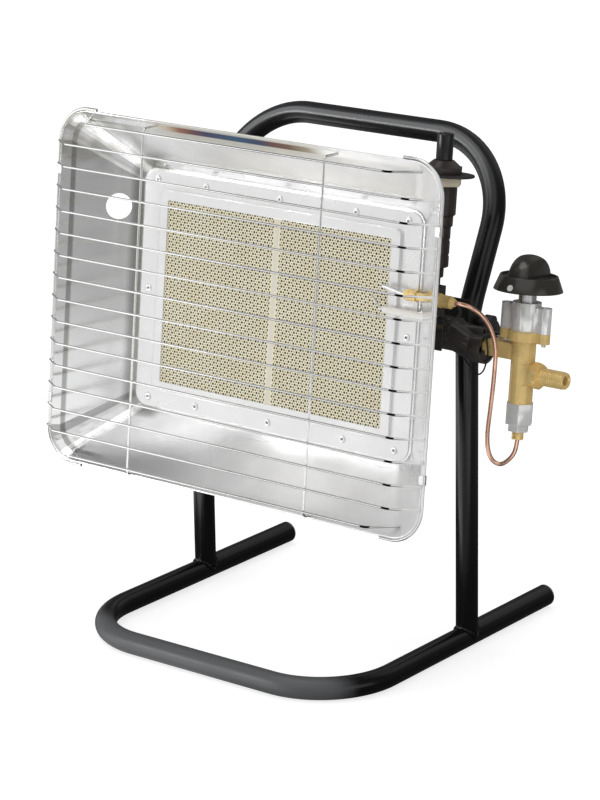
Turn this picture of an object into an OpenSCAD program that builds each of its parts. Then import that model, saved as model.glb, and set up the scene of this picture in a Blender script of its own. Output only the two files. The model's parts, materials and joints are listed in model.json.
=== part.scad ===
// Portable propane heater: a tilting infrared burner head on a bent tube stand.
// Millimetres, +Z up, -Y is the side the heat leaves, +X is the side of the gas valve.
// The origin is on the floor, midway between the two uprights.
// The head is drawn in its own frame: x across, y is depth behind the rim, z up the rim,
// and head_pose() leans it back on its pivot.

/* [Stand tube] */
// outer diameter of the steel tube
tube_d = 22; // [19:0.5:26]
// wall thickness of the steel tube
tube_wall = 1.5; // [1.2:0.1:2.5]
// distance between the axes of the two runners and of the two uprights
stand_w = 332; // [326:1:345]
// distance from the uprights to the axis of the front floor bar
front_reach = 207.4; // [180:1:240]
// distance from the uprights to the rear ends of the runners
rear_reach = 138.5; // [110:1:170]
// axis radius of the two floor corners
floor_bend = 80; // [60:1:100]
// thickness of the end cap's rim
cap_rim = 1.6; // [1:0.1:3]
// depth of the end cap's plug inside the tube
cap_plug = 10; // [6:1:16]
// depth of the dish in the end cap
cap_dish = 0.8; // [0.4:0.1:1]

/* [Handle loop] */
// height of the straight part of the uprights
upright_h = 307; // [295:1:310]
// axis radius of the bend that leans the handle back
lean_bend = 110; // [95:1:130]
// angle by which the handle leans back
lean_angle = 26.2; // [22:0.2:32]
// straight length between the lean bend and the handle corner
lean_len = 64.4; // [55:0.2:80]
// axis radius of the two handle corners
handle_bend = 86; // [70:1:100]

/* [Pivot] */
// height of the head's pivot above the floor
pivot_z = 323; // [318:1:330]
// angle by which the head is stored leaning back
head_tilt = 6.8; // [0:0.1:10]
// depth of the pivot behind the rim
pivot_depth = 147; // [145:0.5:155]
// diameter of the pivot bolt
bolt_d = 8; // [7:0.1:8.8]
// running clearance on radius of a turning or sliding fit
run_gap = 0.05; // [0.03:0.01:0.09]
// clearance on radius of a bolt or rivet hole
hole_gap = 0.1; // [0.05:0.01:0.2]
// diameter of the pivot bolt's head
bolt_head_d = 17; // [15:0.5:20]
// height of the pivot bolt's head
bolt_head_h = 4.5; // [3:0.1:6]
// thickness of the friction washer
washer_t = 1; // [0.8:0.1:1.4]
// diameter of the friction washer
washer_d = 24; // [20:0.5:28]
// thickness of the clamp washer
clamp_washer_t = 1.5; // [1:0.1:2]
// diameter of the clamp washer
clamp_washer_d = 20; // [18:0.5:24]
// diameter of the clamp knob over its lobes
clamp_knob_d = 35; // [32:0.5:36]
// thickness of the clamp knob
clamp_knob_t = 13; // [10:0.5:15]
// diameter of the clamp knob's lobes
clamp_lobe_d = 11; // [9:0.5:12]
// number of lobes on the clamp knob
clamp_lobes = 6; // [5:1:8]
// free length of bolt between the clamp knob and its cap
cap_gap = 2; // [1.5:0.1:4]
// diameter of the bright cap on the bolt's end
bolt_cap_d = 10; // [9.6:0.1:12]
// length of the bright cap
bolt_cap_l = 12; // [9:0.5:14]

/* [Head bracket] */
// thickness of the bracket's plate
bracket_t = 2.5; // [2:0.1:3]
// distance from the bracket's front face to the pivot
bracket_offset = 20; // [19:0.1:21]
// height of the bracket's top edge above the pivot
bracket_up = 32; // [30:0.5:36]
// depth of the bracket's bottom edge below the pivot
bracket_down = 19; // [18.8:0.1:20]
// radius of the bracket's ear round the pivot
ear_r = 16; // [14:0.5:18]
// distance of the bracket's legs from the middle
leg_x = 90; // [75:1:105]
// width of a bracket leg
leg_w = 40; // [30:1:46]
// length of the top feet on the burner housing
foot_up = 20; // [18:0.5:24]
// length of the bottom feet on the burner housing
foot_down = 17; // [16:0.5:22]
// diameter of the bracket screws
screw_d = 4.8; // [4:0.1:6]
// width across flats of the bracket screw's head
screw_af = 9; // [8:0.5:11]
// height of the bracket screw's head
screw_head_h = 4; // [3:0.1:5]
// length of the bracket screw inside the housing
screw_in = 8; // [5:0.5:12]

/* [Reflector] */
// width of the head over the guard's side wires
head_w = 462; // [440:1:480]
// height of the head over the guard's side wires
head_h = 356; // [340:1:370]
// corner radius of the guard's side wires, on their axis
rim_corner = 34; // [28:0.5:40]
// thickness of the reflector's sheet
sheet_t = 1; // [0.8:0.1:1.2]
// radius of the bead rolled on the reflector's rim
bead_r = 1; // [0.9:0.05:1.2]
// width of the bright lip inside the bead
lip_w = 7.2; // [6:0.1:9]
// depth of the lip
lip_d = 7; // [5:0.1:9]
// depth of the reflector's floor behind the rim
floor_d = 61; // [57:0.5:66]
// margin of the reflector's floor beside the plaques' pocket
floor_side = 25; // [23:0.5:28]
// margin of the reflector's floor above and below the plaques' pocket
floor_margin = 21; // [19:1:26]
// corner radius of the reflector's floor
floor_corner = 15; // [12:0.5:20]
// radius of the lighting hole in the left wall
hole_r = 13; // [11:0.5:14]
// depth of the lighting hole's middle
hole_d = 43; // [40:0.5:46]
// height of the lighting hole's middle
hole_u = 79; // [70:1:90]

/* [Guard] */
// diameter of the thin guard wires
wire_d = 2.2; // [1.8:0.1:2.5]
// diameter of the guard's side wires
side_wire_d = 2.8; // [2.4:0.1:3]
// number of wires across each half of the guard
wires_half = 8; // [8:1:8]
// distance of the top and bottom cross wires inside the side wires' ends
top_drop = 12.35; // [11:0.05:14]
// distance of the cross wires in front of the rim
guard_d = 20; // [16:0.5:24]
// half length of the straight part of a cross wire
guard_half = 205; // [195:0.5:210]
// half length of the straight part of the top and bottom wires
guard_short = 181.5; // [172:0.5:188]
// how far the top and bottom wires run out past their bends
short_run = 18.5; // [14:0.5:20]
// bend radius of a guard wire on its axis
wire_bend = 5; // [3.5:0.5:6]
// distance of the upright wires from the middle
upright_x = 108.5; // [95:0.5:120]
// length of the side wire's top and bottom ends past the corner
side_tail = 11.6; // [8:0.2:16]
// height of a guard clip
clip_h = 8.6; // [7:0.1:9]
// place of the guard clips, counted in cross wires from the middle
clip_step = 5.22; // [5.15:0.01:5.3]
// thickness of a guard clip
clip_t = 0.9; // [0.7:0.1:1.1]

/* [Burner] */
// thickness of the burner plate and of the housing's sheet
burner_t = 1; // [0.8:0.1:1.2]
// width of the burner window
window_w = 271.4; // [266:0.2:272]
// height of the burner window
window_h = 181; // [176:0.5:183]
// height of the raised frame round the window
frame_rise = 3; // [2:0.1:4]
// width of a ceramic plaque
plaque_w = 134; // [132:0.5:136]
// height of a ceramic plaque
plaque_h = 184; // [184:0.5:186]
// thickness of a ceramic plaque
plaque_t = 13; // [12:0.5:14]
// width of the gasket strip between the plaques
strip_w = 5; // [4:0.2:6]
// width of the gasket round the plaques
gasket_w = 8.5; // [7:0.1:9]
// thickness of the gasket round the plaques at top and bottom
gasket_h = 7; // [6:0.1:8]
// depth of the housing behind its flange
housing_d = 30; // [27:0.5:31]
// width of the ledge that carries the plaques' edges
ledge = 15; // [12:0.5:18]
// corner radius of the housing
housing_corner = 6; // [4:0.5:8]
// distance of the burner plate's edge inside the floor's edge
plate_inset = 2; // [1.5:0.1:3]
// distance of the housing flange's edge inside the floor's edge
flange_inset = 5; // [4:0.1:6]
// spacing of the rivets along the plate
rivet_x = 91; // [80:1:100]
// distance of the corner rivets inside the ends of the reflector's floor
rivet_corner_in = 18; // [15:0.5:20]
// distance of the rivet rows from the plaques' pocket
rivet_out = 10; // [9:0.5:12]
// diameter of a rivet's shank
rivet_d = 4.8; // [4:0.1:5.2]
// diameter of a rivet's head
rivet_head_d = 7.5; // [6.5:0.1:8]
// thickness of a rivet's head
rivet_head_t = 1; // [0.8:0.1:1.4]
// diameter of the hole through a rivet
rivet_bore = 2.8; // [2:0.1:3]

/* [Mixing tube] */
// height of the mixing tube's axis
mix_u = 0.6; // [0:0.1:1]
// depth of the valve's and mixing tube's axis behind the rim
gas_depth = 110; // [109:0.1:110.4]
// outer radius of the mixing tube
mix_r = 15.5; // [15:0.1:15.8]
// wall thickness of the mixing tube
mix_t = 2; // [1.6:0.1:2.4]
// closed end of the mixing tube, left of the middle
mix_start = 24; // [22:1:40]
// place where the mixing tube starts to drop
mix_drop_x = 180; // [176:0.5:182]
// place where the mouth ring starts
mouth_x = 202; // [199:0.5:204]
// end of the mouth ring
mouth_end = 215; // [213:0.5:216]
// outer radius of the mouth ring
mouth_r = 14.5; // [14:0.1:15]
// height of the mouth ring's axis
mouth_u = -7; // [-8:0.1:-6]
// height of the seam between the two halves
seam_u = 3; // [2:0.1:4]
// reach of the seam's flange in front of the axis
seam_reach = 19; // [18:0.2:20]
// place where the seam's flange starts
seam_x = 134; // [133:0.5:145]
// thickness of the seam's flange on each half
seam_t = 0.8; // [0.6:0.1:1.2]
// width of the flat top of the upper half
mix_flat = 18; // [14:0.5:20]
// radius of the boss beside the mouth
boss_r = 4.5; // [4:0.1:5]
// start of the boss beside the mouth
boss_x0 = 188; // [186:0.5:190]
// end of the boss beside the mouth
boss_x1 = 211; // [208:0.5:212]
// height of the boss's axis
boss_u = 8.6; // [8:0.1:9]
// radius of the blind hole in the boss
boss_bore = 2.2; // [1.5:0.1:2.5]
// width of the duct between the mixing tube and the housing
duct_w = 40; // [34:1:44]
// height of the duct between the mixing tube and the housing
duct_h = 27; // [24:0.5:28]
// thickness of the duct's flange
duct_flange = 1.5; // [1.2:0.1:2]
// width of the duct's flange round the duct
duct_lip = 7; // [5:0.5:9]
// thickness of the bridge that carries the injector
bridge_t = 2; // [1.5:0.1:2.5]
// radius of the two air holes in the bridge
air_r = 3.4; // [2.8:0.1:3.8]
// distance of the air holes from the injector
air_x = 7.6; // [7.4:0.1:7.9]
// width across flats of the injector
injector_af = 11; // [10:0.2:12]
// diameter of the injector's nose
injector_d = 6; // [5:0.1:7]
// length of the injector's nose
injector_nose = 9; // [6:0.5:12]
// diameter of the injector's jet
jet_d = 1.2; // [0.8:0.1:2]

/* [Gas valve] */
// distance of the valve's axis from the middle
valve_x = 256; // [254:0.5:258]
// diameter of the valve's brass barrel
valve_d = 23; // [22:0.2:24]
// bottom of the brass barrel
valve_bottom = -51; // [-54:0.5:-49]
// bottom of the brass top flange
flange_u = 7; // [6.5:0.1:8]
// thickness of the brass top flange
flange_t = 10; // [8:0.2:11]
// diameter of the brass top flange
flange_d = 30; // [28:0.2:32]
// distance of the two bonnet screws from the valve's axis
ear_x = 21; // [20:0.2:22]
// diameter of the brass ears and of the bonnet posts
post_d = 11.5; // [10.5:0.1:12.5]
// height of the outlet arm's axis
arm_u = -3.8; // [-4.4:0.1:-3.4]
// height of the outlet arm
arm_h = 15; // [14:0.2:15.6]
// thickness of the outlet arm, front to back
arm_t = 14; // [12:0.2:15]
// end of the outlet arm
arm_end = 218; // [216.6:0.1:220]
// height of the inlet's axis
inlet_u = -23; // [-26:0.5:-20]
// diameter of the inlet's seat on the barrel
seat_d = 20; // [18:0.5:21]
// distance of the inlet's seat from the valve's axis
seat_x = 13; // [12.5:0.1:14]
// width across flats of the inlet's hexagon
inlet_af = 22; // [19:0.5:23]
// thickness of the inlet's hexagon
inlet_hex = 8; // [6:0.2:10]
// diameter of the inlet's thread
thread_d = 16.66; // [13.16:0.1:16.7]
// length of the inlet's thread
thread_l = 28; // [22:0.5:30]
// diameter of the inlet's bore
inlet_bore = 9; // [6:0.2:10]
// diameter of the bore for the magnet unit
magnet_bore = 16; // [15:0.2:17]
// depth of the magnet unit's bore in the barrel
magnet_deep = 22; // [18:0.5:26]
// diameter of the valve's long bore
core_bore = 8; // [7:0.1:9]
// diameter of the outlet's bore
outlet_bore = 5; // [4:0.1:6]

/* [Valve bonnet and knob] */
// height of the chrome bonnet
bonnet_h = 27; // [25:0.2:28]
// diameter of the chrome bonnet
bonnet_d = 27; // [26:0.2:28]
// height of the bonnet's two posts
post_h = 24; // [22:0.2:26]
// width of the web between bonnet and post
web_w = 6; // [4:0.2:8]
// diameter of the bonnet's hollow
bonnet_bore = 21; // [20.4:0.1:22]
// thickness of the bonnet's top
bonnet_top = 4; // [3:0.1:5]
// diameter of the bonnet screw's head
cap_screw_d = 7; // [6:0.1:8]
// diameter of the bonnet screw's thread
cap_thread_d = 4; // [3.5:0.1:4.4]
// depth of the bonnet screw's head below the post's top
cap_sink = 4.5; // [3:0.1:6]
// height of the bonnet screw's head
cap_head = 3.5; // [3:0.1:4]
// length of the bonnet screw below the brass ear
cap_out = 2.4; // [1.6:0.1:2.8]
// diameter of the valve's stem
stem_d = 16.6; // [15:0.1:17]
// height at which the knob starts, above the bonnet's top
knob_gap = 11; // [9:0.2:14]
// travel of the knob when it is pushed in
push_travel = 5; // [4:0.1:6]
// diameter of the knob's skirt at the bottom
knob_d = 65; // [60:0.5:68]
// diameter of the knob's skirt at the top
knob_top_d = 54; // [51:0.5:58]
// height of the knob's skirt
skirt_h = 14; // [12:0.2:16]
// wall thickness of the knob's skirt
skirt_t = 2.6; // [2:0.1:4]
// depth of the hollow under the knob
skirt_deep = 9; // [7:0.2:10]
// diameter of the knob's hub
hub_d = 23; // [21:0.2:26]
// radius of the knob's grip
grip_r = 24; // [22:0.2:25]
// thickness of the knob's grip
grip_t = 22; // [18:0.2:24]
// height of the grip's top above the skirt's bottom
grip_h = 33; // [30:0.2:36]
// diameter of the white dot on the skirt
dot_d = 6; // [5:0.1:7]
// height of the dot above the skirt's bottom
dot_u = 4.6; // [4:0.1:6]
// depth of the dot in the skirt
dot_in = 0.7; // [0.5:0.1:1]
// how far the dot stands out of the skirt
dot_out = 0.25; // [0.2:0.05:0.4]

/* [Flame sensor] */
// width across corners of the chrome magnet nut
mag_nut_c = 27.5; // [26:0.1:28.5]
// height of the chrome magnet nut
mag_nut_h = 20; // [18:0.2:22]
// width across corners of the nut's lower hexagon
mag_low_c = 21; // [19:0.1:22]
// height of the nut's lower hexagon
mag_low_h = 7; // [6:0.1:8]
// wall between the magnet unit and the nut's lower end
mag_floor = 3; // [2:0.1:4]
// diameter of the magnet unit
mag_unit_d = 14; // [13:0.1:14.6]
// diameter of the gland nut
gland_d = 11; // [9.6:0.1:12]
// height of the gland nut
gland_h = 8; // [7:0.1:9]
// diameter of the gland's shank
gland_shank = 8; // [7:0.1:9]
// width of the two notches in the gland nut
notch_w = 2; // [1.5:0.1:2.5]
// radius of the copper lead
lead_r = 2.1; // [1.8:0.05:2.3]
// depth of the two sensors behind the rim
sensor_d = 50; // [48:0.5:52]
// height of the thermocouple's axis
tc_u = 42.5; // [41:0.5:44]
// height of the spark electrode's axis
spark_u = 24.5; // [23:0.5:26]
// distance of the bracket that holds both sensors beyond the reflector's floor
sensor_out = 24; // [23.6:0.1:26]
// thickness of the sensor bracket
sensor_t = 1.5; // [1.2:0.1:2]
// diameter of the thermocouple's sleeve
sleeve_d = 8; // [7:0.1:9]
// inner end of the thermocouple's sleeve
sleeve_x = 160; // [156:0.5:164]
// width across flats of the thermocouple's two lock nuts
tc_nut_af = 12; // [11:0.2:13]
// thickness of a lock nut
tc_nut_t = 6; // [4.5:0.1:6.5]
// width across flats of the thermocouple's union nut
tc_union_af = 10.5; // [9.8:0.1:11.5]
// end of the thermocouple's union nut
tc_end = 217; // [214:0.5:219]
// radius of the thermocouple's probe
probe_r = 2.2; // [1.8:0.1:2.6]
// length of the thermocouple's probe
probe_l = 26; // [22:0.5:30]
// angle by which the probe's tip is bent up
probe_up = 10; // [4:0.5:12]
// radius of the probe's bend
probe_bend = 12; // [8:1:20]

/* [Spark igniter] */
// radius of the ceramic insulator
ceramic_r = 3.6; // [3:0.1:4]
// inner end of the ceramic insulator
ceramic_x0 = 137; // [134:0.5:140]
// length of the ceramic insulator outside its bracket
ceramic_out = 5; // [4:0.5:7]
// radius of the insulator's collar
collar_r = 5.4; // [5:0.1:6]
// length of the insulator's collar
collar_l = 6; // [4:0.2:7]
// radius of the electrode's rod
rod_r = 1.1; // [0.9:0.05:1.3]
// length of the electrode's tip
tip_l = 15; // [12:0.5:17]
// angle of the electrode's tip to the insulator
tip_angle = 47; // [40:1:55]
// bare length of rod between the insulator and the bend
tip_bare = 4; // [3:0.2:6]
// distance of the igniter's axis beyond the reflector's floor
ign_out = 10.6; // [10.4:0.1:12]
// depth of the igniter's axis behind the rim
ign_d = 69; // [69:0.1:70]
// height of the plate that carries the igniter
plate_u = 155; // [152:0.5:158]
// thickness of that plate
plate_t = 2; // [1.5:0.1:2.5]
// radius of the plate's round end
plate_r = 21; // [20:0.5:23]
// distance of the round end's middle outside the igniter's axis
plate_out = 10; // [6:0.5:12]
// inner end of the plate
plate_x = 138; // [136:0.5:142]
// width of the plate's leg
plate_leg = 24; // [20:0.5:26]
// width across corners of the igniter's hexagonal collar
flange_c = 38; // [34:0.5:40]
// height of the collar's straight part
collar_h = 6; // [4:0.2:7]
// height of the collar's sloping part
cone_h = 6; // [4:0.2:8]
// radius of the collar's sloping part at the top
cone_r = 9.6; // [9:0.1:11]
// width across corners of the cream nut
cream_c = 38; // [34:0.5:40]
// height of the cream nut
cream_h = 9; // [7:0.2:10]
// diameter of the igniter's threaded neck
neck_d = 22; // [20:0.2:24]
// radius of the igniter's barrel
barrel_r = 14; // [13:0.1:14.2]
// lower end of the thick part of the barrel
barrel_u = 118.5; // [117.5:0.5:122]
// radii of the barrel's lower steps
step_r = [12, 10.5, 6.5, 4];
// lower ends of those steps
step_u = [108, 70, 60, 50];
// diameter of the push button
button_d = 15.5; // [14:0.1:16.5]
// top of the push button above the collar
button_up = 25; // [20:0.5:28]
// diameter of the button's pin
pin_d = 10; // [8:0.2:11]
// travel of the push button
button_travel = 6; // [4:0.2:7]
// radius of the ignition lead
spark_lead_r = 1.7; // [1.4:0.1:1.8]
// length of the boot on the electrode's end
boot_l = 8; // [6:0.5:10]
// radius of the earth wire
earth_r = 0.8; // [0.6:0.05:1]
// thickness of the earth tag
tag_t = 0.9; // [0.7:0.1:1.2]
// radius of the earth tag's ring
tag_r = 5.2; // [4.6:0.1:5.6]
// length of the earth tag's crimp
crimp_l = 8; // [6:0.5:10]

/* [Hidden] */
$fn = 96;
hull_fn = 32;
// overshoot of a cutting body past the face it opens
cut = 1;
lead_sides = 10;
thin_sides = 8;
lead_steps = 5;
// shallow band that closes the seam at the end of a bend
band = 0.02;
band_l = 0.5;
hex = 6;
hex_c = 1 / cos(180 / hex);
quarter = 90;
tube_r = tube_d / 2;
tube_in = tube_r - tube_wall;
half_w = stand_w / 2;
bolt_r = bolt_d / 2;
head_in = half_w - tube_r;
ear_in = half_w + tube_r + washer_t;
ear_out = ear_in + bracket_t;
clamp_in = ear_out + clamp_washer_t;
clamp_out = clamp_in + clamp_knob_t;
bolt_cap_in = clamp_out + cap_gap;
bolt_cap_end = bolt_cap_in + bolt_cap_l;
bolt_end = bolt_cap_end - bolt_cap_d / 4;
bracket_d = pivot_depth - bracket_offset;
bracket_back = bracket_d + bracket_t;
screw_up_u = bracket_up + foot_up / 2;
screw_down_u = -bracket_down - foot_down / 2;
// rim, lip and wall of the reflector, measured on the middle of the sheet
side_wire_r = side_wire_d / 2;
side_x = head_w / 2 - side_wire_r;
side_u = head_h / 2 - side_wire_r;
bead_x = side_x - side_wire_r - bead_r;
bead_u = side_u - side_wire_r - bead_r;
bead_corner = rim_corner - side_wire_r - bead_r;
rim_d = 0.5;
bead_d = rim_d;
skin = sheet_t * 0.7;
lip_x = bead_x - lip_w + skin;
lip_u = bead_u - lip_w + skin;
lip_corner = bead_corner - lip_w + skin;
pocket_x = strip_w / 2 + plaque_w + gasket_w;
pocket_u = plaque_h / 2 + gasket_h;
rivet_u = pocket_u + rivet_out;
floor_w = 2 * (pocket_x + floor_side);
floor_h = 2 * (pocket_u + floor_margin);
rivet_corner_x = floor_w / 2 - rivet_corner_in;
rivet_side_x = (pocket_x + burner_t + floor_w / 2) / 2;
sensor_x = floor_w / 2 + sensor_out;
ceramic_x1 = sensor_x + ceramic_out;
ign_x = floor_w / 2 + ign_out;
wall_run = lip_x - skin - floor_w / 2;
wall_fall = lip_u - skin - floor_h / 2;
wall_deep = floor_d - lip_d;
wall_angle = atan(wall_run / wall_deep);
hole_x = floor_w / 2 + wall_run * (floor_d - hole_d) / wall_deep;
floor_back = floor_d + sheet_t;
// burner stack, front to back
plate_d = floor_d - burner_t;
frame_d = plate_d - frame_rise;
plaque_d = frame_d + burner_t;
plaque_back = plaque_d + plaque_t;
flange_back = floor_back + burner_t;
housing_back = floor_back + housing_d;
box_x = pocket_x - ledge;
box_u = pocket_u - ledge + 1;
pocket_corner = housing_corner - burner_t;
bracket_foot_back = housing_back + bracket_t;
// guard wires
wire_r = wire_d / 2;
aim_x = side_x - 0.4;
aim_d = rim_d - 2.1;
lip_slope = (lip_w - skin) / (lip_d - rim_d);
wall_slope = wall_fall / wall_deep;
short_u = side_u - top_drop;
wire_pitch = short_u / (wires_half - 0.5);
clip_u = clip_step * wire_pitch;
short_end_d = lip_d + (lip_u - skin - short_u - wire_r * sqrt(1 + wall_slope * wall_slope)) / wall_slope;
upright_d = -guard_d + wire_d;
hook_d = 2.1;
hook_u = bead_u - skin - lip_slope * (hook_d - rim_d) - wire_r * sqrt(1 + lip_slope * lip_slope);
hook_rise = 1.6;
clip_r = side_wire_r + clip_t;
// gas path
mix_in = mix_r - mix_t;
mouth_in = mouth_r - mix_t;
bridge_x = mouth_end - 4;
injector_x0 = bridge_x + bridge_t;
flange_top = flange_u + flange_t;
post_top = flange_top + post_h;
bonnet_u = flange_top + bonnet_h;
knob_u = bonnet_u + knob_gap;
stem_r = stem_d / 2;
stem_flange_u = flange_top + 10;
stem_flange_t = 3;
plunger_r = 3;
plunger_disc_r = 6;
plunger_disc_t = 3;
magnet_u = valve_bottom + magnet_deep - 5.5;
plunger_bottom = magnet_u + push_travel + 0.5;
inlet_x = valve_x + seat_x;
thread_x = inlet_x + inlet_hex;
thread_end = thread_x + thread_l;
seat_in = 3;
mag_bottom = valve_bottom - mag_nut_h;
mag_low = mag_bottom - mag_low_h;
mag_floor_u = mag_bottom + mag_floor;
gland_bottom = mag_low - gland_h;
gland_top = mag_floor_u - 4;
lead_deep = 9;
tc_nut_x = sensor_x + sensor_t;
tc_union_x = tc_nut_x + tc_nut_t;
lead_in = 5;
sleeve_end = tc_end - 3;
// igniter stack, bottom to top
cream_u = plate_u - cream_h;
collar_u = plate_u + plate_t;
cone_u = collar_u + collar_h;
cone_top = cone_u + cone_h;
button_top = cone_top + button_up;
button_r = button_d / 2;
pin_r = pin_d / 2;
pin_u = cream_u - 4;
leg_low = pocket_u + burner_t + 4 * hole_gap;
tag_u = flange_u - tag_t;
foot_x0 = rivet_side_x - 7;
rivet_tail_r = rivet_head_d / 2 - 0.3;
rivet_tail_t = 1.2;
rivet_places = concat(
    [for (x = [-rivet_corner_x, -rivet_x, 0, rivet_x, rivet_corner_x], s = [-1, 1]) [x, s * rivet_u]],
    [[-rivet_side_x, 0], [rivet_side_x, 0]]);
foot_places = concat(
    [for (s = [-1, 1]) [s * leg_x, screw_up_u]],
    [for (s = [-1, 1]) [s * leg_x, screw_down_u]]);

paint = [0.11, 0.115, 0.12];
steel = [0.78, 0.79, 0.8];
bright = [0.86, 0.87, 0.88];
white = [0.9, 0.9, 0.89];
cream = [0.88, 0.85, 0.73];
clay = [0.87, 0.8, 0.62];
gold = [0.84, 0.66, 0.32];
red_metal = [0.85, 0.55, 0.4];
black = [0.1, 0.1, 0.1];
brown = [0.17, 0.15, 0.14];

// ---- helpers ----

// places the head on its pivot, leaning back
module head_pose() {
    translate([0, 0, pivot_z]) rotate([-head_tilt, 0, 0]) translate([0, -pivot_depth, 0]) children();
}

// rectangle with round corners
module round_rect(w, h, r) {
    square([w - 2 * r, h], center = true);
    square([w, h - 2 * r], center = true);
    for (sx = [-1, 1], sy = [-1, 1]) translate([sx * (w / 2 - r), sy * (h / 2 - r)]) circle(r = r);
}

// plate facing the front: its front face is d behind the rim
module slab(d, t) {
    translate([0, d + t, 0]) rotate([90, 0, 0]) linear_extrude(height = t) children();
}

// plate facing sideways: drawn as depth and height, its left face is at x
module side_plate(x, t) {
    translate([x, 0, 0]) rotate([90, 0, 90]) linear_extrude(height = t) children();
}

module rod_x(x0, x1, d, u, r) {
    translate([x0, d, u]) rotate([0, 90, 0]) cylinder(h = x1 - x0, r = r);
}

module rod_d(x, d0, d1, u, r) {
    translate([x, d1, u]) rotate([90, 0, 0]) cylinder(h = d1 - d0, r = r);
}

module rod_u(x, d, u0, u1, r) {
    translate([x, d, u0]) cylinder(h = u1 - u0, r = r);
}

module hex_x(x0, x1, d, u, r) {
    translate([x0, d, u]) rotate([0, 90, 0]) cylinder(h = x1 - x0, r = r, $fn = hex);
}

module hex_u(x, d, u0, u1, r) {
    translate([x, d, u0]) cylinder(h = u1 - u0, r = r, $fn = hex);
}

// quarter of a wire ring
module quarter_ring(bend, r) {
    rotate_extrude(angle = quarter) translate([bend, 0]) circle(r = r);
}

function unit(v) = v / norm(v);
function blend_point(a, b, c, d, t) = 0.5 * (2 * b + (c - a) * t
    + (2 * a - 5 * b + 4 * c - d) * t * t + (3 * b - a - 3 * c + d) * t * t * t);
function smooth(p, n) = concat([for (i = [0:len(p) - 2], j = [0:n - 1])
    blend_point(p[max(i - 1, 0)], p[i], p[i + 1], p[min(i + 2, len(p) - 1)], j / n)], [p[len(p) - 1]]);
function heading(q, i) = unit(q[min(i + 1, len(q) - 1)] - q[max(i - 1, 0)]);

// round cable along smoothed points, never parallel to ref
module cable(p, r, ref, sides) {
    q = smooth(p, lead_steps);
    last = len(q) - 1;
    pts = [for (i = [0:last]) let (t = heading(q, i), a = unit(cross(t, ref)), b = cross(t, a))
        for (k = [0:sides - 1]) q[i] + r * (cos(360 * k / sides) * a + sin(360 * k / sides) * b)];
    polyhedron(points = pts, faces = concat(
        [[for (k = [0:sides - 1]) k]],
        [[for (k = [sides - 1:-1:0]) last * sides + k]],
        [for (i = [0:last - 1], k = [0:sides - 1])
            [i * sides + k, (i + 1) * sides + k, (i + 1) * sides + (k + 1) % sides]],
        [for (i = [0:last - 1], k = [0:sides - 1])
            [i * sides + k, (i + 1) * sides + (k + 1) % sides, i * sides + (k + 1) % sides]]));
}

// ---- stand ----

// U of tube that lies on the floor; over lengthens its open ends
module floor_path(r, over) {
    straight = half_w - floor_bend;
    y0 = floor_bend - front_reach;
    translate([-straight, -front_reach, tube_r]) rotate([0, 90, 0]) cylinder(h = 2 * straight, r = r);
    for (s = [-1, 1]) {
        translate([s * half_w, y0, tube_r]) rotate([-90, 0, 0])
            cylinder(h = rear_reach - cap_rim - y0 + over, r = r);
        translate([s * straight, y0, tube_r]) rotate([0, 0, s > 0 ? -90 : 180])
            quarter_ring(floor_bend, r);
    }
}

module base_frame() color(paint) difference() {
    floor_path(tube_r, 0);
    floor_path(tube_in, cut);
}

// uprights, lean bends, handle corners and handle bar; over lengthens the open feet
module handle_path(r, over) {
    straight = half_w - handle_bend;
    foot = tube_r + cut - over;
    for (s = [-1, 1]) translate([s * half_w, 0, 0]) {
        translate([0, 0, foot]) cylinder(h = upright_h - foot, r = r);
        translate([0, lean_bend, upright_h]) rotate([90, 0, -90])
            rotate_extrude(angle = lean_angle) translate([lean_bend, 0]) circle(r = r);
    }
    translate([0, lean_bend * (1 - cos(lean_angle)), upright_h + lean_bend * sin(lean_angle)])
    rotate([-lean_angle, 0, 0]) {
        for (s = [-1, 1]) {
            translate([s * half_w, 0, 0]) cylinder(h = lean_len, r = r);
            translate([s * half_w, 0, 0]) cylinder(h = band_l, r = r + band, center = true);
            translate([s * straight, 0, lean_len]) rotate([90, 0, 0]) rotate([0, 0, s > 0 ? 0 : 90])
                quarter_ring(handle_bend, r);
        }
        translate([-straight, 0, lean_len + handle_bend]) rotate([0, 90, 0])
            cylinder(h = 2 * straight, r = r);
    }
}

module handle_frame() color(paint) difference() {
    handle_path(tube_r, 0);
    handle_path(tube_in, cut);
    for (s = [-1, 1]) {
        translate([s * half_w, -2 * tube_r, tube_r]) rotate([-90, 0, 0])
            cylinder(h = 4 * tube_r, r = tube_r);
        translate([s * half_w - 2 * tube_r, 0, pivot_z]) rotate([0, 90, 0])
            cylinder(h = 4 * tube_r, r = bolt_r + hole_gap);
    }
}

module end_caps() color(cream) for (s = [-1, 1]) translate([s * half_w, rear_reach, tube_r])
    rotate([90, 0, 0]) difference() {
        union() {
            cylinder(h = cap_rim, r = tube_r);
            cylinder(h = cap_rim + cap_plug, r = tube_in);
        }
        translate([0, 0, -cut]) cylinder(h = cut + cap_dish, r = tube_in);
        translate([0, 0, cap_rim + 1]) cylinder(h = cap_plug, r = tube_in - 1.5);
    }

// places a right-hand pivot item and its twin on the left
module both_pivots() {
    translate([0, 0, pivot_z]) for (turn = [0, 180]) rotate([0, 0, turn]) children();
}

module ring_x(x0, x1, r_out, r_in) {
    difference() {
        rod_x(x0, x1, 0, 0, r_out);
        rod_x(x0 - cut, x1 + cut, 0, 0, r_in);
    }
}

module pivot_bolts() color(steel) both_pivots() {
    rod_x(head_in - bolt_head_h / 2, head_in, 0, 0, bolt_head_d / 2);
    translate([head_in - bolt_head_h, 0, 0]) rotate([0, 90, 0])
        cylinder(h = bolt_head_h / 2, r1 = bolt_head_d / 4, r2 = bolt_head_d / 2);
    rod_x(head_in - 1, bolt_end, 0, 0, bolt_r);
}

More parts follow.
